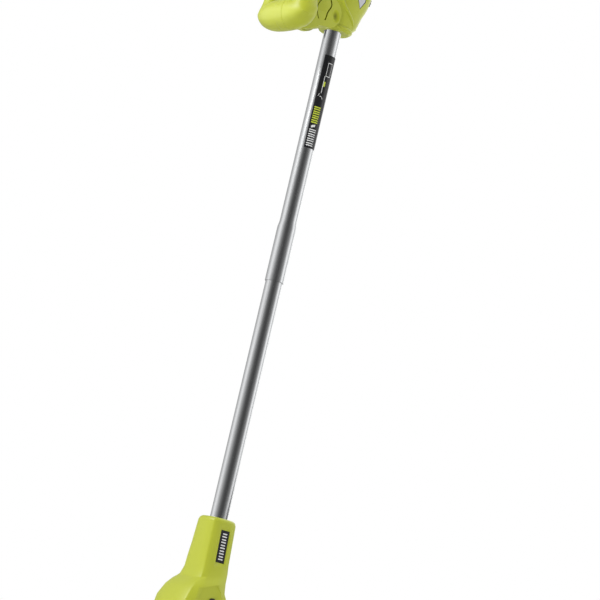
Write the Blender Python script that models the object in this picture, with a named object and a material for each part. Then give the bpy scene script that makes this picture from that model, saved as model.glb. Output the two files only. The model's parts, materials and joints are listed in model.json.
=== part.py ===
"""Corded string trimmer: cutting head, two-piece tube, swivelling rear housing and front handle.

Metres, +Z up, cutting side at -X, operator at +X, the tool's left side at -Y.
The origin is the centre of the bump knob's flat foot, under the motor shaft.
"""
import math

import bmesh
import bpy
from mathutils import Matrix, Vector

# Clearances
GAP = 0.0003
RUNNING = 0.001

# Lean of the tube and the place of its axis
LEAN = math.radians(16.5)
PIVOT_Z = 0.115
AXIS_OFFSET = 0.0105
WALL = 0.003

# Cutting head
POD_RADIUS = 0.0425
POD_HALF_WIDTH = 0.037
POD_FOOT_RADIUS = 0.043
POD_FOOT_Z = 0.046
POD_FOOT_HEIGHT = 0.030
POD_WAIST_RADIUS = 0.027
POD_BASE_THICKNESS = 0.006
MOTOR_RADIUS = 0.024
MOTOR_LENGTH = 0.054
MOTOR_WALL = 0.002
SHAFT_RADIUS = 0.003
BEARING_RADIUS = 0.008
BEARING_WIDTH = 0.005
HUB_RADIUS = 0.042
HUB_WALL = 0.003
HUB_BOSS_RADIUS = 0.008
KNOB_RADIUS = 0.021
KNOB_FOOT_RADIUS = 0.016
SPOOL_RADIUS = 0.036
WOUND_RADIUS = 0.030
EYELET_RADIUS = 0.0026
COMMUTATOR_RADIUS = 0.007
POD_SCREW = 0.060
CUT_RADIUS = 0.125
LINE_RADIUS = 0.0008
GUARD_RADIUS = 0.150
GUARD_ANGLE = math.radians(62)
GUARD_WALL = 0.0026
CUTTER_ANGLE = math.radians(-52)

# Neck and hood, which carry the tube
HOOD_RADIUS = POD_RADIUS + RUNNING + WALL
HOOD_HALF_WIDTH = POD_HALF_WIDTH + RUNNING + WALL
HOOD_EDGE = -0.008
NECK_TOP = 0.1356
NECK_BORE_DEPTH = 0.046
PIN_RADIUS = 0.005
CHEEK_DEPTH = 0.0012
CHEEK_PANEL = [(-0.0275, -0.003), (-0.0190, 0.0225), (-0.0050, 0.0395), (0.0200, 0.0415), (0.0262, 0.0300),
               (0.0285, 0.0120), (0.0262, -0.003)]
CHEEK_BEND = 0.028
CHEEK_RISE = 0.0036
BUTTON_RADIUS = 0.0068
BUTTON_TRAVEL = 0.003
BUTTON_PLACE = (0.0095, 0.018)
BUTTON_TRACK_INNER = 0.0114
BUTTON_TRACK_OUTER = 0.0292
BADGE_WIDTH = 0.0148
BADGE_LENGTH = 0.0455
BADGE_CENTRE = 0.0970
BADGE_FLOOR = 0.0238
BADGE_SLOPE = math.radians(-3.6)
BADGE_THICKNESS = 0.0009

# Tubes, measured along the axis from the height of the tilt pivot
TUBE_RADIUS = 0.0125
TUBE_WALL = 0.0012
SOCKET_WALL = 0.001
SEAM = 0.4826
SOCKET_LENGTH = 0.085
SNAP_RADIUS = 0.0038
SNAP_PLACE = 0.020
COLLAR = 0.8626
TUBE_END = 0.034
LEAD_RADIUS = 0.0025

# Rear housing
HOUSING_WALL = 0.0026
COLLAR_HOLE = TUBE_RADIUS + 0.0006
BUSH_RADIUS = 0.020
BUSH_LENGTH = 0.022
BUSH_SEAT = 0.0026
PLATE_WIDTH = 0.018
PLATE_LENGTH = 0.046
PLATE_LOW = 0.040
PLATE_FLOOR = 0.0269
PLATE_SLOPE = 0.045
PLATE_ANGLE = math.radians(-82)
PLATE_BACK = 0.0124
LOCK_WIDTH = 0.016
LOCK_LENGTH = 0.022
LOCK_LOW = 0.0565
LOCK_TRAVEL = 0.006
LOCK_SEAT = 0.0440
LOCK_FACE = 0.0480
TRIGGER_LOW = (0.0170, 0.1680)
TRIGGER_HIGH = (0.0470, 0.2170)
TRIGGER_WIDTH = 0.016
TRIGGER_END = 0.0055
TRIGGER_PIN = 0.002
TRIGGER_PIN_REACH = 0.0146
SWITCH_HALF_WIDTH = 0.0134
KEY_PLACE = (0.0540, 0.1380)
KEY_TURN = math.radians(20)
KEY_WIDTH = 0.010
KEY_LENGTH = 0.016
PAD_THICKNESS = 0.002
CAP_DEPTH = 0.012
GLAND_RADIUS = 0.0070
CORD_HOLE = 0.0034

# Front handle
EAR_U = -0.0364
EAR_S = 0.015
EAR_RADIUS = 0.021
LUG_RADIUS = 0.0226
LUG_INNER = 0.0225
LUG_OUTER = 0.0305
BOLT_RADIUS = 0.003
BOLT_HEAD = 0.0055
BOLT_SINK = 0.0030
KNOB_SIZE = 0.015
GRIP_FROM = 16

COLOURS = {
    "lime": ((0.58, 0.68, 0.09), 0.42, 0.0),
    "black": ((0.018, 0.018, 0.02), 0.5, 0.0),
    "silver": ((0.62, 0.63, 0.65), 0.28, 1.0),
    "steel": ((0.55, 0.56, 0.58), 0.35, 1.0),
    "light_grey": ((0.68, 0.68, 0.70), 0.5, 0.0),
    "copper": ((0.72, 0.38, 0.2), 0.35, 1.0),
    "brass": ((0.75, 0.6, 0.3), 0.3, 1.0),
    "line": ((0.75, 0.16, 0.05), 0.4, 0.0),
}


def clear_scene():
    for old in list(bpy.data.objects):
        bpy.data.objects.remove(old, do_unlink=True)


def material(piece, colour):
    rgb, roughness, metallic = COLOURS[colour]
    made = bpy.data.materials.new(piece + "_finish")
    made.use_nodes = True
    shader = made.node_tree.nodes["Principled BSDF"]
    shader.inputs["Base Color"].default_value = (*rgb, 1.0)
    shader.inputs["Roughness"].default_value = roughness
    shader.inputs["Metallic"].default_value = metallic
    made.diffuse_color = (*rgb, 1.0)
    return made


def frame(name, parent=None, place=(0, 0, 0), turn=(0, 0, 0)):
    empty = bpy.data.objects.new(name, None)
    bpy.context.scene.collection.objects.link(empty)
    empty.empty_display_size = 0.02
    empty.parent = parent
    empty.location = place
    empty.rotation_euler = turn
    return empty


def piece(name, verts, faces, colour, parent, place=(0, 0, 0), turn=(0, 0, 0), smooth=35):
    mesh = bpy.data.meshes.new(name)
    mesh.from_pydata([tuple(v) for v in verts], [], faces)
    mesh.validate()
    turn_faces_out(mesh)
    mesh.shade_smooth()
    mesh.set_sharp_from_angle(angle=math.radians(smooth))
    made = bpy.data.objects.new(name, mesh)
    bpy.context.scene.collection.objects.link(made)
    made.parent = parent
    made.location = place
    made.rotation_euler = turn
    made.data.materials.append(material(name, colour))
    return made


def turn_faces_out(mesh):
    work = bmesh.new()
    work.from_mesh(mesh)
    bmesh.ops.recalc_face_normals(work, faces=work.faces)
    work.to_mesh(mesh)
    work.free()


def merge(parts):
    """One list of points and faces from several closed bodies that stay apart."""
    verts, faces = [], []
    for part_verts, part_faces in parts:
        start = len(verts)
        verts += part_verts
        faces += [tuple(i + start for i in face) for face in part_faces]
    return verts, faces


def moved(body, matrix):
    verts, faces = body
    return [matrix @ Vector(v) for v in verts], faces


def loft(rings, closed=False):
    """Skin through rings of equal count, with flat ends unless it closes on itself."""
    count = len(rings[0])
    verts = [point for ring in rings for point in ring]
    faces = []
    spans = len(rings) if closed else len(rings) - 1
    for i in range(spans):
        low = i * count
        high = ((i + 1) % len(rings)) * count
        for k in range(count):
            n = (k + 1) % count
            faces.append((low + k, low + n, high + n, high + k))
    if not closed:
        faces.append(tuple(reversed(range(count))))
        faces.append(tuple(range(len(verts) - count, len(verts))))
    return verts, faces


def lathe(profile, steps=32, start=0.0, sweep=2 * math.pi):
    """Turn a closed (radius, height) outline about Z; points on the axis become one."""
    full = sweep > 2 * math.pi - 1e-6
    turns = steps if full else steps + 1
    verts, index = [], []
    for radius, height in profile:
        if radius < 1e-7 and full:
            index.append([len(verts)] * turns)
            verts.append((0, 0, height))
            continue
        row = []
        for k in range(turns):
            angle = start + sweep * k / steps
            row.append(len(verts))
            verts.append((radius * math.cos(angle), radius * math.sin(angle), height))
        index.append(row)
    faces = []
    for i in range(len(profile)):
        a, b = index[i], index[(i + 1) % len(profile)]
        for k in range(steps):
            n = (k + 1) % turns
            corners = [a[k], a[n], b[n], b[k]]
            face = tuple(c for j, c in enumerate(corners) if c not in corners[:j])
            if len(face) > 2:
                faces.append(face)
    if not full:
        faces.append(tuple(row[0] for row in index))
        faces.append(tuple(row[-1] for row in reversed(index)))
    return verts, faces


def rod(radius, start, end, steps=16):
    """Round bar between two points."""
    start, end = Vector(start), Vector(end)
    length = (end - start).length
    turn = (end - start).to_track_quat("Z", "Y").to_matrix().to_4x4()
    body = lathe([(0, 0), (radius, 0), (radius, length), (0, length)], steps)
    return moved(body, Matrix.Translation(start) @ turn)


def tube(outer, inner, low, high, steps=32):
    return lathe([(outer, low), (outer, high), (inner, high), (inner, low)], steps)


def box(low, high):
    (x0, y0, z0), (x1, y1, z1) = low, high
    ring = [(x0, y0), (x1, y0), (x1, y1), (x0, y1)]
    return loft([[(x, y, z0) for x, y in ring], [(x, y, z1) for x, y in ring]])


def prism_y(outline, low, high):
    """Outline in the X and Z plane, drawn out along Y."""
    return loft([[(x, low, z) for x, z in outline], [(x, high, z) for x, z in outline]])


def rounded(width, height, radius, centre=(0, 0), steps=4):
    """Rectangle with round corners, as an outline."""
    points = []
    for corner in range(4):
        middle = math.pi / 2 * corner
        sign_x = 1 if corner in (0, 3) else -1
        sign_z = 1 if corner in (0, 1) else -1
        cx = centre[0] + sign_x * (width / 2 - radius)
        cz = centre[1] + sign_z * (height / 2 - radius)
        for k in range(steps + 1):
            angle = middle + math.pi / 2 * k / steps
            points.append((cx + radius * math.cos(angle), cz + radius * math.sin(angle)))
    return points


def turned_y(body, centre=(0, 0, 0)):
    """Lay a body turned about Z onto the Y axis."""
    return moved(body, Matrix.Translation(centre) @ Matrix.Rotation(-math.pi / 2, 4, "X"))


def cutter(name, body, parent, place=(0, 0, 0), turn=(0, 0, 0)):
    made = piece(name, *body, "black", parent, place, turn)
    made.hide_render = True
    made.display_type = "WIRE"
    return made


def apply_tool(target, tool, operation="DIFFERENCE"):
    step = target.modifiers.new(tool.name, "BOOLEAN")
    step.object = tool
    step.operation = operation
    step.solver = "EXACT"


def oval(half_x, half_y, power, angle):
    """Point of a rounded-square section, whose power sets how square it is."""
    c, s = math.cos(angle), math.sin(angle)
    size = (abs(c) ** power + abs(s) ** power) ** (-1 / power)
    return half_x * c * size, half_y * s * size


def half_ring(station, side, steps):
    """Half of a section, from its front edge round one side to its rear edge."""
    front, rear, half_width, power = station
    front, rear = Vector((front[0], 0, front[1])), Vector((rear[0], 0, rear[1]))
    middle, half = (front + rear) / 2, (rear - front) / 2
    points = []
    for k in range(steps + 1):
        along, across = oval(1.0, half_width, power, math.pi * (1 - k / steps))
        point = middle + half * along
        points.append(point + Vector((0, side * (GAP / 2 + across), 0)))
    return points


def half_shell(outer, inner, side, steps=14):
    """Half of a hollow moulding, split at Y = 0 and open at both ends."""
    skins = []
    verts, faces = [], []
    for stations in (outer, inner):
        rows = []
        for station in stations:
            ring = half_ring(station, side, steps)
            rows.append(list(range(len(verts), len(verts) + len(ring))))
            verts += ring
        for low, high in zip(rows, rows[1:]):
            for k in range(steps):
                faces.append((low[k], low[k + 1], high[k + 1], high[k]))
        skins.append(rows)
    out, inn = skins
    faces.append(tuple(row[0] for row in out) + tuple(row[0] for row in reversed(inn)))
    faces.append(tuple(row[-1] for row in out) + tuple(row[-1] for row in reversed(inn)))
    faces.append(tuple(out[0]) + tuple(reversed(inn[0])))
    faces.append(tuple(out[-1]) + tuple(reversed(inn[-1])))
    return verts, faces


def coil(radius, wire, low, high, turns, steps=10, sides=5):
    """Open helix of round wire with flat ends, standing between two heights."""
    rings = []
    total = turns * steps
    for i in range(total + 1):
        angle = 2 * math.pi * i / steps
        z = low + wire + (high - low - 2 * wire) * i / total
        out = Vector((math.cos(angle), math.sin(angle), 0))
        ring = []
        for k in range(sides):
            around = 2 * math.pi * k / sides
            ring.append(out * (radius + wire * math.cos(around)) + Vector((0, 0, z + wire * math.sin(around))))
        rings.append(ring)
    return loft(rings)


def screw_along(start, toward, length, head=0.0032, shank=0.0015):
    """Pan-headed screw: its head starts at the first point and its shank runs on."""
    start, toward = Vector(start), Vector(toward).normalized()
    turn = toward.to_track_quat("Z", "Y").to_matrix().to_4x4()
    body = lathe([(0, 0), (head, 0.0004), (head, 0.002), (shank, 0.002), (shank, length), (0, length)], 8)
    return moved(body, Matrix.Translation(start) @ turn)


def screw_hole(start, toward, length, head=0.0032, shank=0.0015):
    """Counterbore and clearance hole for the screw above, open toward its head."""
    start, toward = Vector(start), Vector(toward).normalized()
    turn = toward.to_track_quat("Z", "Y").to_matrix().to_4x4()
    mouth = -0.012
    body = lathe([(0, mouth), (head + GAP, mouth), (head + GAP, 0.002 + GAP), (shank + GAP, 0.002 + GAP),
                  (shank + GAP, length + GAP), (0, length + GAP)], 8)
    return moved(body, Matrix.Translation(start) @ turn)


# Levels in the head, each worked out from its neighbours
BASE_Z = POD_FOOT_Z - POD_BASE_THICKNESS
HUB_TOP = BASE_Z - 0.002
HUB_SKIRT = 0.0123
LINE_Z = 0.018
MOTOR_Z = POD_FOOT_Z + 0.002
MOTOR_TOP = MOTOR_Z + MOTOR_LENGTH
CAP_Z = MOTOR_TOP + GAP
CAP_THICKNESS = 0.004
CAP_BOSS_RADIUS = BEARING_RADIUS + 0.002
CAP_BOSS_HEIGHT = 0.0047
UPPER_BEARING_Z = CAP_Z + 0.0029
BORE = SHAFT_RADIUS + GAP
BEARING_POCKET = BEARING_RADIUS + GAP
SPOOL_BORE = 0.0113
SPOOL_Z = 0.0098
SPOOL_HEIGHT = 0.0184
FLANGE = 0.002
CORE_RADIUS = 0.0168
COVER_HOLE = KNOB_RADIUS + 0.0025
PIVOT = Vector((0, 0, PIVOT_Z))


def pod_profile():
    """Half outline of the barrel, turned about the tilt axis."""
    points = []
    for k in range(9):
        radius, across = oval(POD_RADIUS, POD_HALF_WIDTH, 5, math.pi / 2 - math.pi * k / 8)
        points.append((max(radius, 0.0), across))
    points[0] = (0.0, POD_HALF_WIDTH)
    points[-1] = (0.0, -POD_HALF_WIDTH)
    return points


def pod_screw_spots():
    """Places of the screws that join the pod halves: X, Z and the Y of the head."""
    side = POD_RADIUS - 0.0095
    return [(-side, PIVOT_Z - 0.003, 0.0325), (side, PIVOT_Z - 0.003, 0.0325)]


def guard_screw_spots():
    head = POD_FOOT_RADIUS + 0.0058
    spots = []
    for angle in (math.radians(-28), math.radians(28)):
        out = Vector((math.cos(angle), math.sin(angle), 0))
        spots.append((out * head + Vector((0, 0, POD_FOOT_Z + 0.0095)), -out))
    return spots


def make_pod(parent):
    foot_top = POD_FOOT_Z + POD_FOOT_HEIGHT
    for side, name in ((-1, "pod_left"), (1, "pod_right")):
        barrel = piece(name, *turned_y(lathe(pod_profile(), 26), PIVOT), "lime", parent)
        foot = lathe([(0, POD_FOOT_Z), (POD_FOOT_RADIUS, POD_FOOT_Z), (POD_FOOT_RADIUS, foot_top - 0.003),
                      (POD_FOOT_RADIUS - 0.003, foot_top), (POD_WAIST_RADIUS, foot_top),
                      (POD_WAIST_RADIUS, PIVOT_Z - 0.02), (0, PIVOT_Z - 0.02)], 26, 0.04)
        apply_tool(barrel, cutter(name + "_foot", foot, parent), "UNION")
        plan = [(-0.0024, -POD_HALF_WIDTH + 0.0005)]
        widest = math.asin((POD_HALF_WIDTH - 0.0005) / (POD_RADIUS - 0.0005))
        for k in range(9):
            angle = -widest + 2 * widest * k / 8
            reach = POD_RADIUS - 0.0005
            plan.append((-reach * math.cos(angle), reach * math.sin(angle)))
        plan.append((-0.0024, POD_HALF_WIDTH - 0.0005))
        nose = loft([[(x, y, foot_top - 0.006) for x, y in plan], [(x, y, PIVOT_Z - 0.002) for x, y in plan]])
        apply_tool(barrel, cutter(name + "_nose", nose, parent), "UNION")
        room = lathe([(0, POD_FOOT_Z - 0.01), (MOTOR_RADIUS + GAP, POD_FOOT_Z - 0.01),
                      (MOTOR_RADIUS + GAP, CAP_Z + CAP_THICKNESS + GAP),
                      (CAP_BOSS_RADIUS + GAP, CAP_Z + CAP_THICKNESS + GAP),
                      (CAP_BOSS_RADIUS + GAP, CAP_Z + CAP_THICKNESS + CAP_BOSS_HEIGHT + GAP),
                      (0, CAP_Z + CAP_THICKNESS + CAP_BOSS_HEIGHT + GAP)], 18, 0.05)
        apply_tool(barrel, cutter(name + "_room", room, parent))
        far = side * 0.1
        near = -side * GAP / 2
        low, high = sorted((-far, -near))
        apply_tool(barrel, cutter(name + "_split", box((-0.1, low, -0.01), (0.1, high, 0.3)), parent))
        pin = rod(PIN_RADIUS + GAP, PIVOT + Vector((0, side * (POD_HALF_WIDTH - 0.0075), 0)),
                  PIVOT + Vector((0, side * 0.05, 0)), 16)
        apply_tool(barrel, cutter(name + "_pin_hole", pin, parent))
        holes = [screw_hole((x, y, z), (0, -1, 0), POD_SCREW) for x, z, y in pod_screw_spots()]
        apply_tool(barrel, cutter(name + "_screw_holes", merge(holes), parent))
        radial = [screw_hole(spot, toward, 0.0118) for spot, toward in guard_screw_spots()]
        apply_tool(barrel, cutter(name + "_guard_holes", merge(radial), parent))
        if side < 0:
            ring = tube(BUTTON_TRACK_OUTER, BUTTON_TRACK_INNER, -0.045, -POD_HALF_WIDTH + BUTTON_TRAVEL + 0.002, 24)
            apply_tool(barrel, cutter(name + "_track", turned_y(ring, PIVOT), parent))
    for at, (x, z, y) in enumerate(pod_screw_spots()):
        name = ("pod_screw_front", "pod_screw_rear")[at]
        piece(name, *screw_along((x, y, z), (0, -1, 0), POD_SCREW), "steel", parent)


def make_motor(parent):
    base = lathe([(0.0045, BASE_Z), (POD_FOOT_RADIUS - 0.003, BASE_Z), (POD_FOOT_RADIUS, BASE_Z + 0.0025),
                  (POD_FOOT_RADIUS, POD_FOOT_Z - GAP), (BEARING_POCKET, POD_FOOT_Z - GAP),
                  (BEARING_POCKET, BASE_Z + 0.0012), (0.0045, BASE_Z + 0.0012)], 28)
    piece("pod_base", *base, "black", parent)
    low = BASE_Z + 0.0015
    piece("lower_bearing", *tube(BEARING_RADIUS, BORE, low, low + BEARING_WIDTH, 16), "steel", parent)
    inner = MOTOR_RADIUS - MOTOR_WALL
    can = lathe([(BEARING_POCKET, MOTOR_Z), (MOTOR_RADIUS, MOTOR_Z), (MOTOR_RADIUS, MOTOR_TOP),
                 (inner, MOTOR_TOP), (inner, MOTOR_Z + MOTOR_WALL), (BEARING_POCKET, MOTOR_Z + MOTOR_WALL)], 18)
    piece("motor_can", *can, "steel", parent)
    start, end = MOTOR_Z + 0.008, MOTOR_TOP - 0.006
    piece("field_magnet", *tube(inner - 0.0006, inner - 0.0033, start, end, 18), "black", parent)
    boss = CAP_Z + CAP_THICKNESS + CAP_BOSS_HEIGHT
    cap = lathe([(0.0045, CAP_Z), (MOTOR_RADIUS, CAP_Z), (MOTOR_RADIUS, CAP_Z + CAP_THICKNESS),
                 (CAP_BOSS_RADIUS, CAP_Z + CAP_THICKNESS), (CAP_BOSS_RADIUS, boss), (BEARING_POCKET, boss),
                 (BEARING_POCKET, UPPER_BEARING_Z - GAP), (0.0045, UPPER_BEARING_Z - GAP)], 18)
    piece("motor_end_cap", *cap, "black", parent)
    high = UPPER_BEARING_Z + BEARING_WIDTH
    piece("upper_bearing", *tube(BEARING_RADIUS, BORE, UPPER_BEARING_Z, high, 16), "steel", parent)
    for side, name in ((1, "rear_brush"), (-1, "front_brush")):
        near, far = sorted((side * (COMMUTATOR_RADIUS + GAP), side * 0.0165))
        brush = box((near, -0.002, MOTOR_TOP - 0.0048), (far, 0.002, CAP_Z - GAP))
        piece(name, *brush, "black", parent)


def guard_outline():
    """Section of the guard: collar, roof and skirt, outer side first."""
    collar = POD_FOOT_RADIUS + GAP
    top = POD_FOOT_Z + 0.018
    wall = GUARD_WALL
    outer = [(collar, top), (collar + 0.003, top), (0.070, top - 0.0015), (0.100, top - 0.006),
             (0.124, top - 0.015), (0.140, top - 0.029), (GUARD_RADIUS - 0.0025, 0.018), (GUARD_RADIUS, 0)]
    inner = [(GUARD_RADIUS - wall, 0), (GUARD_RADIUS - wall - 0.0025, 0.018), (0.138, top - 0.0305),
             (0.1225, top - 0.0172), (0.099, top - 0.0085), (0.070, top - 0.0041),
             (collar + 0.003, top - wall), (collar + 0.003, POD_FOOT_Z + 0.004), (collar, POD_FOOT_Z + 0.004)]
    return outer + inner


def make_guard(parent):
    shield = piece("guard", *lathe(guard_outline(), 18, -GUARD_ANGLE, 2 * GUARD_ANGLE), "black", parent)
    top = POD_FOOT_Z + 0.018
    lip = [(0.060, top - 0.0025), (0.099, top - 0.0072), (0.1232, top - 0.0162), (0.1388, top - 0.0295),
           (GUARD_RADIUS - 0.0035, 0.018), (GUARD_RADIUS - 0.0015, 0.003), (GUARD_RADIUS - 0.006, 0.003),
           (0.130, 0.024), (0.110, 0.036), (0.060, top - 0.012)]
    width = math.radians(1.4)
    ends = [lathe(lip, 1, -GUARD_ANGLE + 0.0004, width), lathe(lip, 1, GUARD_ANGLE - width - 0.0004, width)]
    for rib in (-40, -20, 0, 20, 40):
        crest = [(POD_FOOT_RADIUS + 0.0025, top - 0.001), (POD_FOOT_RADIUS + 0.0025, top + 0.003),
                 (0.070, top + 0.001), (0.100, top - 0.0042), (0.122, top - 0.0145), (0.100, top - 0.0075)]
        ends.append(lathe(crest, 1, math.radians(rib) - 0.012, 0.024))
    apply_tool(shield, cutter("guard_lips", merge(ends), parent), "UNION")
    holes = [screw_hole(spot, toward, 0.0118) for spot, toward in guard_screw_spots()]
    apply_tool(shield, cutter("guard_holes", merge(holes), parent))
    for name, (spot, toward) in zip(("guard_screw_left", "guard_screw_right"), guard_screw_spots()):
        piece(name, *screw_along(spot, toward, 0.0118), "steel", parent)
    turn = Matrix.Rotation(CUTTER_ANGLE, 4, "Z")
    leg = box((GUARD_RADIUS - 0.0068, -0.0085, 0.004), (GUARD_RADIUS - 0.0056, 0.0085, 0.0155))
    blade = piece("line_cutter", *moved(leg, turn), "steel", parent)
    fin = box((CUT_RADIUS + 0.002, -0.0006, 0.0045), (GUARD_RADIUS - 0.0062, 0.0006, 0.0150))
    apply_tool(blade, cutter("line_cutter_fin", moved(fin, turn), parent), "UNION")


def make_spin(parent):
    """Everything on the motor shaft."""
    piece("motor_shaft", *rod(SHAFT_RADIUS, (0, 0, 0.0105), (0, 0, UPPER_BEARING_Z + BEARING_WIDTH + 0.0005), 16),
          "steel", parent)
    start, end = MOTOR_Z + 0.008, MOTOR_TOP - 0.006
    core = MOTOR_RADIUS - MOTOR_WALL - 0.004
    windings = [(BORE, start), (core, start), (core, end), (COMMUTATOR_RADIUS, end),
                (COMMUTATOR_RADIUS, MOTOR_TOP - 0.0005), (BORE, MOTOR_TOP - 0.0005)]
    piece("armature", *lathe(windings, 18), "copper", parent)
    wall = HUB_RADIUS - HUB_WALL
    outline = [(BORE, HUB_TOP), (HUB_RADIUS - 0.0015, HUB_TOP), (HUB_RADIUS, HUB_TOP - 0.002),
               (HUB_RADIUS, HUB_SKIRT), (wall, HUB_SKIRT), (wall, HUB_TOP - HUB_WALL),
               (HUB_BOSS_RADIUS, HUB_TOP - HUB_WALL), (HUB_BOSS_RADIUS, 0.014), (BORE, 0.014)]
    hub = piece("spool_hub", *lathe(outline, 28), "black", parent)
    eye = rod(EYELET_RADIUS + GAP, (-0.030, 0, LINE_Z), (-0.050, 0, LINE_Z), 12)
    apply_tool(hub, cutter("spool_hub_eye", eye, parent))
    ring = lathe([(EYELET_RADIUS, wall - 0.0006), (EYELET_RADIUS, HUB_RADIUS + GAP),
                  (EYELET_RADIUS + 0.0012, HUB_RADIUS + GAP), (EYELET_RADIUS + 0.0012, HUB_RADIUS + 0.0013),
                  (LINE_RADIUS + GAP, HUB_RADIUS + 0.0013), (LINE_RADIUS + GAP, wall - 0.0006)], 12)
    facing = Matrix.Translation((0, 0, LINE_Z)) @ Matrix.Rotation(-math.pi / 2, 4, "Y")
    piece("line_eyelet", *moved(ring, facing), "steel", parent)
    piece("cutting_line", *rod(LINE_RADIUS, (-WOUND_RADIUS - 0.0005, 0, LINE_Z), (-CUT_RADIUS, 0, LINE_Z), 8),
          "line", parent)
    lip = wall - GAP
    cover = lathe([(HUB_RADIUS, HUB_SKIRT - GAP), (HUB_RADIUS, HUB_SKIRT - 0.005),
                   (HUB_RADIUS - 0.0025, HUB_SKIRT - 0.0083), (COVER_HOLE, HUB_SKIRT - 0.0083),
                   (COVER_HOLE, HUB_SKIRT - 0.0059), (lip - 0.0014, HUB_SKIRT - 0.0059), (lip - 0.0014, 0.0145),
                   (lip, 0.0145), (lip, HUB_SKIRT - GAP)], 28)
    shade = piece("hub_cover", *cover, "black", parent)
    dimples = [rod(0.0035, (0.033 * math.cos(a), 0.033 * math.sin(a), 0),
                   (0.033 * math.cos(a), 0.033 * math.sin(a), HUB_SKIRT - 0.0073), 8)
               for a in [2 * math.pi * k / 5 for k in range(5)]]
    apply_tool(shade, cutter("hub_cover_dimples", merge(dimples), parent))
    nut = lathe([(0.006, 0.0106), (0.006, 0.0137), (BORE / math.cos(math.pi / 6), 0.0137),
                 (BORE / math.cos(math.pi / 6), 0.0106)], 6)
    piece("hub_nut", *nut, "steel", parent)
    piece("spool_spring", *coil(0.0132, 0.0009, SPOOL_Z + 0.0085, HUB_TOP - HUB_WALL - GAP, 4), "steel", parent)


def make_bump_feed(slide):
    knob = lathe([(0, 0), (KNOB_FOOT_RADIUS, 0), (KNOB_RADIUS - 0.0012, 0.0012), (KNOB_RADIUS, 0.004),
                  (KNOB_RADIUS, 0.0072), (COVER_HOLE + 0.003, 0.0072), (COVER_HOLE + 0.003, SPOOL_Z - GAP),
                  (SPOOL_BORE - GAP, SPOOL_Z - GAP), (SPOOL_BORE - GAP, 0.028), (HUB_BOSS_RADIUS + 0.0006, 0.028),
                  (HUB_BOSS_RADIUS + 0.0006, 0.003), (0, 0.003)], 24)
    piece("bump_knob", *knob, "black", slide)
    feed = frame("spool_payout_axis", slide)
    top = SPOOL_Z + SPOOL_HEIGHT
    spool = lathe([(SPOOL_BORE, SPOOL_Z), (SPOOL_RADIUS, SPOOL_Z), (SPOOL_RADIUS, SPOOL_Z + FLANGE),
                   (CORE_RADIUS, SPOOL_Z + FLANGE), (CORE_RADIUS, top - FLANGE), (SPOOL_RADIUS, top - FLANGE),
                   (SPOOL_RADIUS, top), (0.0152, top), (0.0152, SPOOL_Z + 0.0082), (SPOOL_BORE, SPOOL_Z + 0.0082)], 24)
    piece("line_spool", *spool, "lime", feed)
    wound = tube(WOUND_RADIUS, CORE_RADIUS + GAP, SPOOL_Z + FLANGE + GAP, top - FLANGE - GAP, 24)
    piece("wound_line", *wound, "line", feed)


# Levels along the tube, measured in the leaning frame from the height of the tilt pivot
NECK_BORE_END = NECK_TOP - NECK_BORE_DEPTH
TUBE_INNER = TUBE_RADIUS - TUBE_WALL
TUBE_HOLE = TUBE_RADIUS + GAP
SOCKET_RADIUS = TUBE_HOLE + SOCKET_WALL
BUSH_TOP = BUSH_SEAT + GAP + BUSH_LENGTH
FLANGE_TOP = BUSH_TOP + RUNNING + 0.006


def from_rest(x, height):
    """Place in the leaning frame of a point given from the tilt pivot at rest."""
    dx = x - AXIS_OFFSET
    c, s = math.cos(LEAN), math.sin(LEAN)
    return dx * c - height * s, dx * s + height * c


def on_barrel(radius, height, side):
    return from_rest(side * math.sqrt(radius ** 2 - height ** 2), height)


def neck_stations():
    """Outer and inner skins of the neck, from its rim down to the hood's edge."""
    top = NECK_TOP
    wide = HOOD_HALF_WIDTH
    outer = [((-0.0204, top), (0.0190, top), 0.0196, 3.0),
             ((-0.0228, top - 0.0022), (0.0214, top - 0.0022), 0.0220, 3.4),
             ((-0.0238, top - 0.006), (0.0224, top - 0.006), 0.0231, 3.8),
             ((-0.0243, top - 0.040), (0.0222, top - 0.026), 0.0247, 4.2),
             ((-0.0252, top - 0.056), (0.0222, top - 0.041), 0.0258, 4.5),
             ((-0.0254, top - 0.075), (0.0223, top - 0.061), 0.0272, 4.7),
             (from_rest(-0.0037, 0.054), from_rest(0.0500, 0.054), 0.0296, 4.8),
             (from_rest(-0.0162, 0.048), from_rest(0.0466, 0.048), 0.0334, 4.8),
             (from_rest(-0.0247, 0.042), from_rest(0.0432, 0.042), 0.0366, 4.8),
             (from_rest(-0.0373, 0.028), from_rest(0.0395, 0.028), wide - 0.0005, 4.8)]
    hole = TUBE_HOLE
    inner = [((-hole, level), (hole, level), hole, 2)
             for level in (top, top - 0.015, top - 0.032, NECK_BORE_END)]
    inner += [((-0.0150, NECK_BORE_END - 0.001), (0.0150, NECK_BORE_END - 0.001), 0.0160, 2.4),
              ((-0.0222, top - 0.058), (0.0197, top - 0.050), 0.0235, 3),
              ((-0.0223, top - 0.075), (0.0198, top - 0.062), 0.0248, 3.2),
              (from_rest(-0.0005, 0.053), from_rest(0.0472, 0.053), 0.0270, 3.4),
              (from_rest(-0.0145, 0.0448), from_rest(0.0438, 0.0455), 0.0310, 3.6),
              (from_rest(-0.0229, 0.039), from_rest(0.0403, 0.040), 0.0340, 4),
              (from_rest(-0.0350, 0.0265), from_rest(0.0366, 0.0265), wide - WALL - 0.0002, 4.5)]
    for level, power in ((0.015, 4.8), (0.004, 5), (HOOD_EDGE, 5)):
        outer.append((on_barrel(HOOD_RADIUS, level, -1), on_barrel(HOOD_RADIUS, level, 1), wide, power))
        inner.append((on_barrel(HOOD_RADIUS - WALL, level, -1), on_barrel(HOOD_RADIUS - WALL, level, 1),
                      wide - WALL, power))
    return outer, inner


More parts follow.
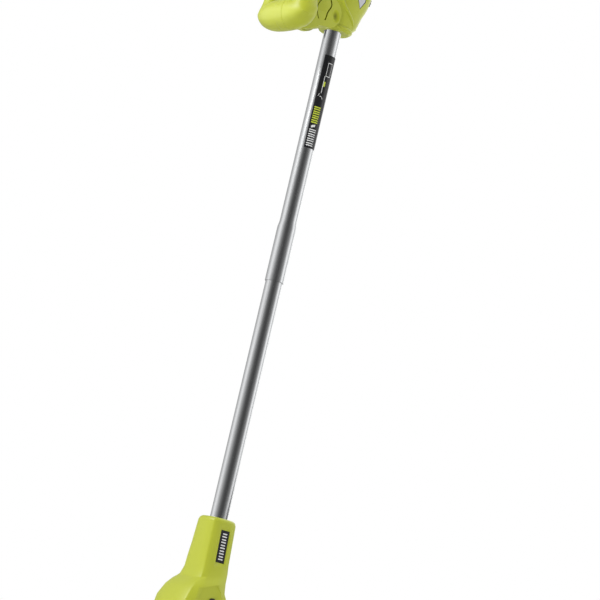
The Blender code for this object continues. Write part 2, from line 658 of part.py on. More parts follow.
def neck_screw_spots():
    return [(-0.0164, 0.0185, NECK_TOP - 0.036), (0.0158, 0.0170, NECK_TOP - 0.016)]


def at_button():
    u, t = from_rest(BUTTON_PLACE[0], BUTTON_PLACE[1])
    return u, t


def cheek_panel():
    """Shallow panel round the release button, bent to follow the hood's shoulder."""
    low = [(x, z) for x, z in CHEEK_PANEL if z <= CHEEK_BEND]
    high = [(x, z) for x, z in CHEEK_PANEL if z > CHEEK_BEND]
    floor = -HOOD_HALF_WIDTH + CHEEK_DEPTH
    outline = low[:2] + high + low[2:]
    rings = []
    for y in (-0.06, floor):
        ring = []
        for x, z in outline:
            u, t = from_rest(x, z)
            drop = CHEEK_RISE * max(0.0, z - CHEEK_BEND) / (0.0415 - CHEEK_BEND) if y == floor else 0.0
            ring.append((u, y + drop, t))
        rings.append(ring)
    return loft(rings)


def badge_body(thickness, margin):
    """Badge, or with a margin the pocket that it lies in, along the flared side of the neck."""
    half, reach = BADGE_WIDTH / 2 + margin, BADGE_LENGTH / 2 + margin
    body = box((-half, -thickness - GAP + margin, -reach), (half, -GAP + margin, reach))
    place = Matrix.Translation((0, -BADGE_FLOOR, BADGE_CENTRE)) @ Matrix.Rotation(BADGE_SLOPE, 4, "X")
    return moved(body, place)


def make_neck(shaft, button):
    outer, inner = neck_stations()
    pivot_u, pivot_t = from_rest(0, 0)
    for side, name in ((-1, "neck_left"), (1, "neck_right")):
        half = piece(name, *half_shell(outer, inner, side, 12), "lime", shaft, smooth=28)
        holes = [screw_hole(spot, (0, -1, 0), 0.036) for spot in neck_screw_spots()]
        apply_tool(half, cutter(name + "_screw_holes", merge(holes), shaft))
        start = Vector((pivot_u, side * 0.02, pivot_t))
        end = Vector((pivot_u, side * (HOOD_HALF_WIDTH - 0.0022), pivot_t))
        apply_tool(half, cutter(name + "_pin_hole", rod(PIN_RADIUS + GAP, start, end, 16), shaft))
        if side < 0:
            apply_tool(half, cutter("neck_left_dish", cheek_panel(), shaft))
            u, t = at_button()
            hole = rod(BUTTON_RADIUS + GAP, (u, -0.06, t), (u, -0.03, t), 20)
            apply_tool(half, cutter("neck_left_button_hole", hole, shaft))
            apply_tool(half, cutter("neck_left_badge_pocket", badge_body(0.03, GAP), shaft))
    for side, name in ((-1, "tilt_pin_left"), (1, "tilt_pin_right")):
        pin = rod(PIN_RADIUS, (pivot_u, side * (POD_HALF_WIDTH - 0.007), pivot_t),
                  (pivot_u, side * (HOOD_HALF_WIDTH - 0.0025), pivot_t), 16)
        piece(name, *pin, "steel", shaft)
    for name, spot in zip(("neck_screw_front", "neck_screw_rear"), neck_screw_spots()):
        piece(name, *screw_along(spot, (0, -1, 0), 0.036), "steel", shaft)
    piece("neck_badge", *badge_body(BADGE_THICKNESS, 0.0), "black", shaft)
    reach = HOOD_HALF_WIDTH - POD_HALF_WIDTH
    cap = lathe([(0, 0.0), (BUTTON_RADIUS + 0.0014, 0.0), (BUTTON_RADIUS + 0.0014, 0.0014),
                 (BUTTON_RADIUS, 0.0014), (BUTTON_RADIUS, reach + 0.0005), (BUTTON_RADIUS - 0.001, reach + 0.0015),
                 (0, reach + 0.0015)], 20)
    outward = Matrix.Translation((0, -POD_HALF_WIDTH + 0.0008, 0)) @ Matrix.Rotation(math.pi / 2, 4, "X")
    piece("tilt_button", *moved(cap, outward), "black", button)


def make_tubes(shaft, snap):
    low = NECK_BORE_END + 0.001
    socket_end = SEAM + SOCKET_LENGTH
    lower = piece("lower_tube", *tube(TUBE_RADIUS, TUBE_INNER, low, socket_end - 0.006, 28), "silver", shaft)
    top = COLLAR + TUBE_END
    outline = [(SOCKET_RADIUS, SEAM), (SOCKET_RADIUS, socket_end - 0.004), (TUBE_RADIUS, socket_end + 0.004),
               (TUBE_RADIUS, top), (TUBE_INNER, top), (TUBE_INNER, socket_end + 0.0045),
               (TUBE_HOLE, socket_end - 0.0035), (TUBE_HOLE, SEAM)]
    upper = piece("upper_tube", *lathe(outline, 28), "silver", shaft)
    hole = rod(SNAP_RADIUS + GAP, (0, 0, SEAM + SNAP_PLACE), (0.03, 0, SEAM + SNAP_PLACE), 12)
    for target, name in ((lower, "lower"), (upper, "upper")):
        apply_tool(target, cutter(name + "_tube_snap_hole", hole, shaft))
    seat = math.sqrt(TUBE_INNER ** 2 - (SNAP_RADIUS + 0.0012) ** 2) - GAP
    stud = lathe([(0, seat - 0.0015), (SNAP_RADIUS + 0.0012, seat - 0.0015), (SNAP_RADIUS + 0.0012, seat),
                  (SNAP_RADIUS, seat), (SNAP_RADIUS, SOCKET_RADIUS + 0.0004), (0.0022, SOCKET_RADIUS + 0.0016),
                  (0, SOCKET_RADIUS + 0.0018)], 12)
    piece("snap_button", *moved(stud, Matrix.Rotation(math.pi / 2, 4, "Y")), "steel", snap)
    grommet = tube(TUBE_INNER - GAP, LEAD_RADIUS + GAP, low + 0.001, low + 0.013, 20)
    piece("lead_grommet", *grommet, "black", shaft)
    lead = rod(LEAD_RADIUS, (0, 0, NECK_BORE_END - 0.040), (0, 0, top + 0.020), 12)
    piece("motor_lead", *lead, "black", shaft)
    start = COLLAR + BUSH_TOP + RUNNING
    piece("swivel_flange", *tube(BUSH_RADIUS - 0.002, TUBE_HOLE, start, COLLAR + FLANGE_TOP, 24), "black", shaft)


# Rear housing: spine point (back, up), half depth, half width, squareness and pitch of each section
HOUSING_SPINE = [
    (0.0020, 0.0000, 0.0222, 0.0216, 2.2, 0),
    (0.0025, 0.0020, 0.0242, 0.0236, 2.2, 0),
    (0.0028, 0.0072, 0.0248, 0.0242, 2.3, 0),
    (0.0036, 0.0125, 0.0295, 0.0264, 2.4, 0),
    (0.0042, 0.0310, 0.0322, 0.0282, 2.5, 0),
    (0.0084, 0.0500, 0.0370, 0.0292, 2.5, 3),
    (0.0110, 0.0740, 0.0370, 0.0298, 2.7, 5),
    (0.0145, 0.0950, 0.0345, 0.0285, 2.7, 9),
    (0.0190, 0.1150, 0.0305, 0.0260, 2.6, 13),
    (0.0265, 0.1360, 0.0260, 0.0230, 2.5, 19),
    (0.0360, 0.1570, 0.0222, 0.0200, 2.4, 24),
    (0.0480, 0.1800, 0.0195, 0.0178, 2.3, 27),
    (0.0610, 0.2040, 0.0185, 0.0170, 2.3, 29),
    (0.0760, 0.2300, 0.0185, 0.0170, 2.3, 30),
    (0.0900, 0.2530, 0.0195, 0.0178, 2.3, 31),
    (0.1040, 0.2750, 0.0220, 0.0200, 2.4, 31),
    (0.1150, 0.2940, 0.0255, 0.0228, 2.5, 31),
    (0.1230, 0.3070, 0.0272, 0.0243, 2.6, 31),
    (0.1305, 0.3195, 0.0260, 0.0232, 2.6, 31),
]
CAVITY_FROM = 5
BORE_TOP = BUSH_SEAT + BUSH_LENGTH + 0.0154


def spine_section(row, grow=0.0):
    u, s, depth, width, power, pitch = row
    turn = math.radians(pitch)
    du, ds = (depth + grow) * math.cos(turn), (depth + grow) * math.sin(turn)
    return (u - du, s + ds), (u + du, s - ds), width + grow, power


def housing_stations():
    outer = [spine_section(row) for row in HOUSING_SPINE]
    hole, bore = COLLAR_HOLE, BUSH_RADIUS + GAP
    inner = [((-hole, 0.0), (hole, 0.0), hole, 2), ((-hole, BUSH_SEAT), (hole, BUSH_SEAT), hole, 2),
             ((-bore, BUSH_SEAT + 0.0001), (bore, BUSH_SEAT + 0.0001), bore, 2),
             ((-bore, BORE_TOP), (bore, BORE_TOP), bore, 2)]
    inner += [spine_section(row, -HOUSING_WALL) for row in HOUSING_SPINE[CAVITY_FROM:]]
    return outer, inner


def housing_screw_spots():
    """Head side at +Y, beside the cavity where the mouldings have solid posts."""
    return [(0.0243, 0.0188, 0.0224), (-0.0241, 0.0188, 0.0343)]


def along_trigger(down, out=0.0):
    """Point in the section plane, from the trigger's lower end along it and outward."""
    start, end = Vector(TRIGGER_LOW), Vector(TRIGGER_HIGH)
    along = (end - start).normalized()
    normal = Vector((-along.y, along.x))
    return tuple(start + along * down + normal * out)


def trigger_length():
    return (Vector(TRIGGER_HIGH) - Vector(TRIGGER_LOW)).length


def trigger_hinge():
    return along_trigger(trigger_length() - TRIGGER_END, -0.004)


def plate_outline(margin=0.0):
    half = PLATE_WIDTH / 2 + margin
    low, high = PLATE_LOW - margin, PLATE_LOW + PLATE_LENGTH + margin
    return [(-half, high), (-half, low + 0.016), (0.0010, low), (half, low + 0.013), (half, high)]


def plate_body(inside, outside, margin=0.0):
    rings = [[(depth + PLATE_SLOPE * (s - PLATE_LOW), y, s) for y, s in plate_outline(margin)]
             for depth in (inside, outside)]
    return moved(loft(rings), Matrix.Translation((PLATE_BACK, 0, 0)) @ Matrix.Rotation(PLATE_ANGLE, 4, "Z"))


def make_housing(rear):
    outer, inner = housing_stations()
    length = trigger_length()
    slot = [along_trigger(-0.0012, 0.02), along_trigger(length + 0.0008, 0.02),
            along_trigger(length + 0.0008, -0.007), along_trigger(-0.0012, -0.007)]
    hinge_u, hinge_s = trigger_hinge()
    ear = [(-0.0215, EAR_S - math.sqrt(EAR_RADIUS ** 2 - (EAR_U + 0.0215) ** 2))]
    first = math.atan2(ear[0][1] - EAR_S, ear[0][0] - EAR_U)
    for k in range(1, 18):
        angle = first - (2 * math.pi + 2 * first) * k / 18
        ear.append((EAR_U + EAR_RADIUS * math.cos(angle), EAR_S + EAR_RADIUS * math.sin(angle)))
    ear.append((-0.0215, 2 * EAR_S - ear[0][1]))
    for side, name in ((-1, "housing_left"), (1, "housing_right")):
        half = piece(name, *half_shell(outer, inner, side, 10), "lime", rear, smooth=28)
        low, high = sorted((side * GAP / 2, side * (LUG_INNER - 2 * GAP)))
        apply_tool(half, cutter(name + "_ear", prism_y(ear, low, high), rear), "UNION")
        tools = {
            "trigger_slot": prism_y(slot, -TRIGGER_WIDTH / 2 - 0.0004, TRIGGER_WIDTH / 2 + 0.0004),
            "lock_slot": box((0.038, -LOCK_WIDTH / 2 - GAP, LOCK_LOW - 0.0005),
                             (0.065, LOCK_WIDTH / 2 + GAP, LOCK_LOW + LOCK_LENGTH + LOCK_TRAVEL + 0.0005)),
            "lug_seat": rod(LUG_RADIUS + 0.0008, (EAR_U, side * (LUG_INNER - GAP), EAR_S), (EAR_U, side * 0.05, EAR_S), 28),
            "bolt_hole": rod(BOLT_RADIUS + GAP, (EAR_U, -0.05, EAR_S), (EAR_U, 0.05, EAR_S), 12),
            "pin_hole": rod(TRIGGER_PIN + GAP, (hinge_u, -TRIGGER_PIN_REACH - GAP, hinge_s),
                            (hinge_u, TRIGGER_PIN_REACH + GAP, hinge_s), 12),
            "screw_holes": merge([screw_hole(spot, (0, -1, 0), 0.038) for spot in housing_screw_spots()]),
        }
        for use, body in tools.items():
            apply_tool(half, cutter(name + "_" + use, body, rear))
        key = box((-0.010, -KEY_WIDTH / 2 - GAP, -KEY_LENGTH / 2 - GAP),
                  (0.012, KEY_WIDTH / 2 + GAP, KEY_LENGTH / 2 + GAP))
        apply_tool(half, cutter(name + "_key_hole", moved(key, key_place()), rear))
        if side < 0:
            apply_tool(half, cutter("housing_left_plate_pocket", plate_body(PLATE_FLOOR, 0.06, GAP), rear))
    piece("data_plate", *plate_body(PLATE_FLOOR + GAP, PLATE_FLOOR + 0.0013), "light_grey", rear)
    for name, spot in zip(("housing_screw_rear", "housing_screw_front"), housing_screw_spots()):
        piece(name, *screw_along(spot, (0, -1, 0), 0.038), "steel", rear)
    bush = lathe([(COLLAR_HOLE - 0.0001, BUSH_SEAT + GAP), (BUSH_RADIUS, BUSH_SEAT + GAP), (BUSH_RADIUS, BUSH_TOP),
                  (COLLAR_HOLE - 0.0001, BUSH_TOP)], 24)
    piece("swivel_bush", *bush, "black", rear)


def key_place():
    """Place of the lock-off button on the back of the grip."""
    return Matrix.Translation((KEY_PLACE[0], 0, KEY_PLACE[1])) @ Matrix.Rotation(KEY_TURN, 4, "Y")


def make_controls(rear, lock, trigger, key):
    hinge_u, hinge_s = trigger_hinge()
    length = trigger_length()
    outline = [along_trigger(0, -0.007), along_trigger(0, 0.0008)]
    for k in range(1, 9):
        part = k / 9
        outline.append(along_trigger((length - 2 * TRIGGER_END) * part, 0.001 + 0.0085 * math.sin(math.pi * part) ** 0.8))
    along = Vector(along_trigger(1)) - Vector(along_trigger(0))
    base = math.atan2(along.y, along.x)
    for k in range(9):
        angle = base + math.pi / 2 - math.pi * k / 8
        outline.append((hinge_u + TRIGGER_END * math.cos(angle), hinge_s + TRIGGER_END * math.sin(angle)))
    local = [(u - hinge_u, s - hinge_s) for u, s in outline]
    lever = piece("trigger", *prism_y(local, -TRIGGER_WIDTH / 2, TRIGGER_WIDTH / 2), "black", trigger)
    soften = lever.modifiers.new("Soft edges", "BEVEL")
    soften.width = 0.0015
    soften.segments = 1
    soften.limit_method = "ANGLE"
    soften.angle_limit = math.radians(50)
    eye = rod(TRIGGER_PIN + GAP, (0, -0.03, 0), (0, 0.03, 0), 12)
    apply_tool(lever, cutter("trigger_eye", eye, trigger))
    pin = rod(TRIGGER_PIN, (hinge_u, -TRIGGER_PIN_REACH, hinge_s), (hinge_u, TRIGGER_PIN_REACH, hinge_s), 12)
    piece("trigger_pin", *pin, "steel", rear)
    corners = [along_trigger(0.008, -0.0165), along_trigger(0.032, -0.0165), along_trigger(0.032, -0.0280),
               along_trigger(0.008, -0.0280)]
    piece("trigger_switch", *prism_y(corners, -SWITCH_HALF_WIDTH, SWITCH_HALF_WIDTH), "black", rear)
    slide = [(LOCK_SEAT - 0.0035, -0.002), (LOCK_SEAT - 0.0015, -0.002), (LOCK_SEAT - 0.0015, 0.0),
             (LOCK_FACE, 0.0), (LOCK_FACE + 0.0015, 0.002)]
    for k in range(4):
        foot = 0.005 + 0.0035 * k
        slide += [(LOCK_FACE + 0.0015, foot), (LOCK_FACE + 0.0030, foot + 0.0008), (LOCK_FACE + 0.0015, foot + 0.0022)]
    slide += [(LOCK_FACE, LOCK_LENGTH), (LOCK_SEAT - 0.0015, LOCK_LENGTH), (LOCK_SEAT - 0.0015, LOCK_LENGTH + 0.002),
              (LOCK_SEAT - 0.0035, LOCK_LENGTH + 0.002)]
    piece("swivel_lock", *prism_y(slide, -LOCK_WIDTH / 2, LOCK_WIDTH / 2), "black", lock)
    face = [box((-0.0078, -KEY_WIDTH / 2, -KEY_LENGTH / 2), (0.0026, KEY_WIDTH / 2, KEY_LENGTH / 2))]
    press = piece("lock_off_button", *face[0], "black", key)
    edge = press.modifiers.new("Soft edges", "BEVEL")
    edge.width = 0.0012
    edge.segments = 2
    foot = box((-0.0078, -KEY_WIDTH / 2 - 0.0012, -KEY_LENGTH / 2 - 0.0012),
               (-0.0062, KEY_WIDTH / 2 + 0.0012, KEY_LENGTH / 2 + 0.0012))
    apply_tool(press, cutter("lock_off_flange", foot, key), "UNION")


def make_grip_pad(rear):
    """Soft strip over the back of the grip."""
    rings = []
    reach = math.radians(62)
    for row in HOUSING_SPINE[11:16]:
        front, back, width, power = spine_section(row)
        middle = (Vector(front) + Vector(back)) / 2
        half = (Vector(back) - Vector(front)) / 2
        depth = half.length
        unit = half / depth
        ring = []
        for grow, order in ((PAD_THICKNESS, 1), (GAP, -1)):
            arc = []
            for k in range(13):
                angle = -reach + 2 * reach * k / 12
                along, across = oval(depth + grow, width + grow + GAP / 2, power, angle)
                spot = middle + unit * along
                arc.append((spot.x, across, spot.y))
            ring += arc[::order]
        rings.append(ring)
    piece("grip_pad", *loft(rings), "black", rear)


def make_gland(rear):
    """End cap of the housing, with the rubber gland that the mains cord comes out of."""
    u, s, depth, width, power, pitch = HOUSING_SPINE[-1]
    end = frame("rear_cap_place", rear, (u, 0, s), (0, math.radians(pitch), 0))
    rings = []
    fit = HOUSING_WALL + GAP
    for level, shrink in ((-CAP_DEPTH, 0), (-0.0005, 0), (0.0010, 0.0015)):
        ring = []
        for k in range(28):
            x, y = oval(depth - fit - shrink, width - fit - shrink, power, 2 * math.pi * k / 28)
            ring.append((x, y, level))
        rings.append(ring)
    body = piece("rear_cap", *loft(rings), "black", end)
    hole = rod(GLAND_RADIUS + GAP, (0, 0, -0.03), (0, 0, 0.01), 16)
    apply_tool(body, cutter("rear_cap_hole", hole, end))
    gland = lathe([(CORD_HOLE, -CAP_DEPTH), (GLAND_RADIUS, -CAP_DEPTH), (GLAND_RADIUS, 0.0010 + GAP),
                   (GLAND_RADIUS + 0.0016, 0.0010 + GAP), (GLAND_RADIUS + 0.0016, 0.0035),
                   (CORD_HOLE + 0.0016, 0.0090), (CORD_HOLE, 0.0090)], 16)
    piece("cord_gland", *gland, "black", end)


def smooth_path(points, steps=3):
    """Curve through points, as evenly stepped places with what else each point carries."""
    padded = [points[0]] + list(points) + [points[-1]]
    made = []
    for a, b, c, d in zip(padded, padded[1:], padded[2:], padded[3:]):
        for k in range(steps):
            t = k / steps
            made.append(tuple(0.5 * (2 * q + (r - p) * t + (2 * p - 5 * q + 4 * r - v) * t * t
                                     + (3 * q - p - 3 * r + v) * t ** 3) for p, q, r, v in zip(a, b, c, d)))
    made.append(points[-1])
    return made


def handle_path():
    """Left half of the loop, from its base to the top of the grip: place, thickness, height."""
    return smooth_path([
        (-0.0550, -GAP / 2, -0.0050, 0.0225, 0.0235),
        (-0.0550, -0.0170, -0.0048, 0.0225, 0.0233),
        (-0.0547, -0.0320, -0.0035, 0.0215, 0.0215),
        (-0.0530, -0.0430, 0.0020, 0.0188, 0.0172),
        (-0.0485, -0.0480, 0.0150, 0.0160, 0.0150),
        (-0.0425, -0.0520, 0.0320, 0.0145, 0.0138),
        (-0.0360, -0.0560, 0.0500, 0.0140, 0.0135),
        (-0.0300, -0.0565, 0.0700, 0.0140, 0.0135),
        (-0.0250, -0.0505, 0.0890, 0.0140, 0.0138),
        (-0.0225, -0.0370, 0.1015, 0.0142, 0.0142),
        (-0.0215, -0.0170, 0.1060, 0.0145, 0.0145),
        (-0.0215, -GAP / 2, 0.1060, 0.0145, 0.0145),
    ], 2)


def handle_ring(path, i, grow=0.0, sides=16):
    here = Vector(path[i][:3])
    ahead = Vector(path[min(i + 1, len(path) - 1)][:3]) - Vector(path[max(i - 1, 0)][:3])
    if i in (0, len(path) - 1):
        ahead = Vector((0, -1 if i == 0 else 1, 0))
    ahead.normalize()
    fore = Vector((1, 0, 0))
    fore = (fore - ahead * fore.dot(ahead)).normalized()
    rise = ahead.cross(fore)
    ring = []
    for k in range(sides):
        x, y = oval(path[i][3] + grow, path[i][4] + grow, 2.3, 2 * math.pi * k / sides)
        ring.append(here + fore * x + rise * y)
    return ring


def mirrored(ring):
    return [Vector((p.x, -p.y, p.z)) for p in ring]


def make_handle(loop, knob):
    path = handle_path()
    rings = [handle_ring(path, i) for i in range(len(path))]
    lug = []
    for k in range(17):
        angle = math.radians(-118 + 236 * k / 16)
        lug.append((LUG_RADIUS * math.cos(angle), LUG_RADIUS * math.sin(angle)))
    lug += [(-0.052, 0.012), (-0.052, -0.018)]
    for side, name in ((-1, "handle_left"), (1, "handle_right")):
        shape = rings if side < 0 else [mirrored(ring) for ring in rings]
        half = piece(name, *loft(shape), "lime", loop)
        low, high = sorted((side * LUG_INNER, side * LUG_OUTER))
        apply_tool(half, cutter(name + "_lug", prism_y(lug, low, high), loop), "UNION")
        tools = [rod(BOLT_RADIUS + GAP, (0, -0.05, 0), (0, 0.05, 0), 12)]
        if side < 0:
            tools.append(rod(BOLT_HEAD + GAP, (0, -0.06, 0), (0, -LUG_OUTER + BOLT_SINK + 0.003, 0), 16))
        for tool_at, tool in enumerate(tools):
            apply_tool(half, cutter(name + "_hole_" + str(tool_at), tool, loop))
    head = lathe([(0, 0), (BOLT_HEAD, 0.0004), (BOLT_HEAD, 0.0026), (BOLT_RADIUS, 0.0026),
                  (BOLT_RADIUS, 2 * LUG_OUTER - BOLT_SINK + 0.012), (0, 2 * LUG_OUTER - BOLT_SINK + 0.012)], 12)
    across = Matrix.Translation((0, -LUG_OUTER + BOLT_SINK - 0.0001, 0)) @ Matrix.Rotation(-math.pi / 2, 4, "X")
    piece("pivot_bolt", *moved(head, across), "steel", loop)
    rows = []
    for i in range(GRIP_FROM, len(path)):
        rows.append((handle_ring(path, i, PAD_THICKNESS), handle_ring(path, i, GAP)))
    rows += [(mirrored(out), mirrored(inn)) for out, inn in reversed(rows[:-1])]
    piece("handle_grip", *sleeve(rows), "black", loop)
    petals = []
    for k in range(30):
        angle = 2 * math.pi * k / 30
        petals.append((KNOB_SIZE * (1 + 0.08 * math.cos(5 * angle)) * math.cos(angle),
                       KNOB_SIZE * (1 + 0.08 * math.cos(5 * angle)) * math.sin(angle)))
    levels = ((0.0, 0.82), (0.002, 0.97), (0.009, 1.0), (0.0125, 0.92), (0.0135, 0.7))
    body = loft([[(x * size, LUG_OUTER + GAP + level, z * size) for x, z in petals] for level, size in levels])
    turned = piece("handle_knob", *body, "black", knob)
    thread = rod(BOLT_RADIUS + GAP, (0, 0, 0), (0, LUG_OUTER + 0.0125, 0), 12)
    apply_tool(turned, cutter("handle_knob_thread", thread, knob))


def sleeve(rows):
    """Soft tube round a bar, from pairs of outer and inner rings."""
    count = len(rows[0][0])
    verts, faces = [], []
    for out, inn in rows:
        verts += list(out) + list(inn)
    for i in range(len(rows) - 1):
        low, high = 2 * count * i, 2 * count * (i + 1)
        for k in range(count):
            n = (k + 1) % count
            faces.append((low + k, low + n, high + n, high + k))
            faces.append((low + count + k, high + count + k, high + count + n, low + count + n))
    for i in (0, len(rows) - 1):
        low = 2 * count * i
        for k in range(count):
            n = (k + 1) % count
            faces.append((low + k, low + count + k, low + count + n, low + n))
    return verts, faces


def build():
    clear_scene()
    head = frame("motor_head_frame")
    make_pod(head)
    make_motor(head)
    make_guard(head)
    spin = frame("spool_spin_axis", head)
    make_spin(spin)
    make_bump_feed(frame("bump_slide", spin))
    tilt = frame("head_tilt_axis", head, PIVOT)
    shaft = frame("tube_frame", tilt, (AXIS_OFFSET, 0, 0), (0, LEAN, 0))
    button_u, button_t = at_button()
    button = frame("tilt_button_slide", shaft, (button_u, 0, button_t))
    snap = frame("snap_button_slide", shaft, (0, 0, SEAM + SNAP_PLACE))
    make_neck(shaft, button)
    make_tubes(shaft, snap)
    rear = frame("swivel_axis", shaft, (0, 0, COLLAR))
    make_housing(rear)
    make_grip_pad(rear)
    make_gland(rear)
    lock = frame("swivel_lock_slide", rear, (0, 0, LOCK_LOW))
    hinge_u, hinge_s = trigger_hinge()
    trigger = frame("trigger_axis", rear, (hinge_u, 0, hinge_s))
    key = frame("lock_off_slide", rear, (KEY_PLACE[0], 0, KEY_PLACE[1]), (0, KEY_TURN, 0))
    make_controls(rear, lock, trigger, key)
    loop = frame("front_handle_axis", rear, (EAR_U, 0, EAR_S), (0, -LEAN, 0))
    make_handle(loop, frame("handle_knob_axis", loop))


build()
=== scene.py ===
"""Looks of the electric string trimmer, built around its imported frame."""
import json
import math

import bmesh
import bpy
from bpy.props import FloatProperty, FloatVectorProperty, PointerProperty
from bpy.types import Operator, Panel, PropertyGroup
from mathutils import Matrix, Vector


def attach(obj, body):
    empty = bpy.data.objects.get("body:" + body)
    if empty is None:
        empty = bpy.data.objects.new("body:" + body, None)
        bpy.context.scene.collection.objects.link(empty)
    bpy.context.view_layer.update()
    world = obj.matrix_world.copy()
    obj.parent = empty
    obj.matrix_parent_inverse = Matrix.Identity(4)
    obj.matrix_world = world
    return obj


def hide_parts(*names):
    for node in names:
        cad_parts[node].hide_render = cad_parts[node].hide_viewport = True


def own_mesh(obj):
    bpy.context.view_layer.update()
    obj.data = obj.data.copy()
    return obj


bl_info = {
    "name": "Electric string trimmer",
    "version": (1, 0, 0),
    "blender": (4, 5, 0),
    "location": "View3D > Sidebar > Trimmer",
    "description": "Builds the shells, tube, controls and cutting head of an electric string trimmer",
    "category": "Object",
}

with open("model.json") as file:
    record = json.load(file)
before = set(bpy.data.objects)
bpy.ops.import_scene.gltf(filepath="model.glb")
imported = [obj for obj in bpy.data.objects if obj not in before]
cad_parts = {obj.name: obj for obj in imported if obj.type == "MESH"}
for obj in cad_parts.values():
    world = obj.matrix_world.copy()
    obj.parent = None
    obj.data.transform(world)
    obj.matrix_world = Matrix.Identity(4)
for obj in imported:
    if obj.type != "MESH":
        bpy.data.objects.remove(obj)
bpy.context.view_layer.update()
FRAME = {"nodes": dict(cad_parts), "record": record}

# Places and sizes that the frame already has
LEAN = math.radians(16.5)
PIVOT_HEIGHT = 0.115
AXIS_OFFSET = 0.0105
TUBE_RADIUS = 0.0125
COLLAR = 0.8626
EAR = Vector((-0.0364, 0.0, 0.015))
LUG_FACE = -0.0305
LUG_INNER = -0.0225
NECK_RIM = 0.1316
TUBE_FRAME = Matrix.Translation((AXIS_OFFSET, 0, PIVOT_HEIGHT)) @ Matrix.Rotation(LEAN, 4, "Y")
REAR_FRAME = TUBE_FRAME @ Matrix.Translation((0, 0, COLLAR))
HANDLE_FRAME = Matrix.Translation(REAR_FRAME @ EAR)

# How copies of the frame's nodes are joined up and rounded
JOIN_REACH = 0.000002
FLAT_ANGLE = math.radians(0.6)
SEAM_REACH = 0.0004
EDGE_ROOM = 0.34
SHELL_ANGLES = {"angle": 34, "shade": 44}
NECK_ANGLES = {"angle": 28, "shade": 48}
NECK_OUTSIDE = TUBE_RADIUS + 0.004
NECK_STEEPEST = math.radians(58)
FINE_EDGE = 0.0002
TRIM_EDGE = 0.0003
BEAD_SHADE = 60
STRIP_SHADE = 40

# Waist of the front handle's arms, before the first limit along X, measured from the handle's pivot
WAIST = 0.20
WAIST_LIMIT = -0.02
WAIST_FOOT = -0.006
WAIST_RISE = 0.022
WAIST_TOP = 0.078
WAIST_FALL = 0.045

# Base bar of the front handle, and the fine parting line round it
BAR_MIDDLE = (-0.0550, -0.0165, -0.0048)
BAR_REACH = 0.0300
BAR_HALF_WIDTH = 0.034
GROOVE_HALF_WIDTH = 0.0004
GROOVE_DEPTH = 0.0007
SLICE_REACH = 0.000005
ON_SLICE = 0.00002

# Wavy line and round step on the left lug's face: width and depth, from a plane in front of the face
LINE_LIFT = 0.004
WAVE = (
    (0.0028, 0.0205), (0.0036, 0.0160), (0.0046, 0.0112), (0.0030, 0.0070),
    (-0.0012, 0.0024), (-0.0040, -0.0018), (-0.0062, -0.0078), (-0.0084, -0.0118),
)
WAVE_WIDTH = 0.0021
WAVE_DEPTH = 0.0062
STEP_RADIUS = 0.0220
STEP_START = 100
STEP_SWEEP = 108
STEP_PARTS = 12
STEP_WIDTH = 0.0014
STEP_DEPTH = 0.0066

# Thumb dent in the same face: a stretched ball, and the share of the lime's brightness left at its middle by
# the painted shade
DENT_CENTRE = (0.0120, LUG_FACE - 0.0130, -0.0050)
DENT_RADIUS = 0.015
DENT_SHAPE = (0.85, 1.3)
DENT_SHADE = 0.42

# Plug over the bolt's head, and the web under each lug's arm
PLUG_RADIUS = 0.0068
PLUG_LENGTH = 0.0026
PLUG_SINK = 0.00128
WEB_BAR_END = (-0.0560, -0.0150)
WEB_UNDERSIDE = (
    (-0.0530, -0.0235), (-0.0470, -0.0268), (-0.0380, -0.0258), (-0.0290, -0.0236), (-0.0205, -0.0212),
)
WEB_COLLAR_END = ((-0.0150, -0.0150), (-0.0190, 0.0020), (-0.0450, 0.0020))
WEB_SINK = 0.0001
WEB_DEPTH = 0.0078
RIGHT_WEB_LIFT = 0.0080

# Ridge on the housing's left side, lip of its collar, and border of its plate's outward faces
RIDGE = (
    (-0.0165, -0.0240, 0.0510), (-0.0116, -0.0256, 0.0388), (-0.0039, -0.0274, 0.0306),
    (0.0059, -0.0271, 0.0224), (0.0133, -0.0256, 0.0151), (0.0173, -0.0230, 0.0113),
)
RIDGE_RADIUS = 0.0023
RIDGE_END = 0.3
LIP_PLACE = (0.0026, 0, 0.0048)
LIP_RADIUS = 0.0234
LIP_THICKNESS = 0.0026
PLATE_OUTWARD = -0.7
PLATE_BORDER = 0.0011

# Printed wrap round the tube: angles in degrees, heights from the wrap's start
WRAP_LEFT = -141
WRAP_RIGHT = 0
FILM_LIFT = 0.00012
FILM_THICKNESS = 0.00014
PRINT_LIFT = 0.00027
PRINT_THICKNESS = 0.00005
STRIP_STEP = 4
BAR_LEFT = -131
BAR_PAIRS = 4
WHITE_BARS = {"right": -84, "first": 0.003, "pitch": 0.0068, "pair": ((0.0, 0.0015), (0.0031, 0.0046))}
LIME_BARS = {"right": -86, "first": 0.0375, "pitch": 0.0066, "pair": ((0.0, 0.0018), (0.0031, 0.0049))}
# Single marks: left, right, low, high and lean
WHITE_BLOCK = (-124, -98, 0.0300, 0.0336, 0.002)
FRAME_STROKES = (
    (-104, -74, 0.1290, 0.1300, 0.0), (-104, -74, 0.1090, 0.1100, 0.0), (-106, -103, 0.1090, 0.1300, 0.0),
    (-75, -72, 0.1090, 0.1300, 0.0), (-112, -108, 0.0830, 0.1090, 0.0),
)
SHORT_STROKES = (
    (-128, -119, 0.0775, 0.0788, 0.004), (-114, -105, 0.0775, 0.0788, 0.0),
    (-101, -92, 0.0775, 0.0788, -0.004),
)
LIME_BLOCK = (-110, -96, 0.0935, 0.1010, 0.0)

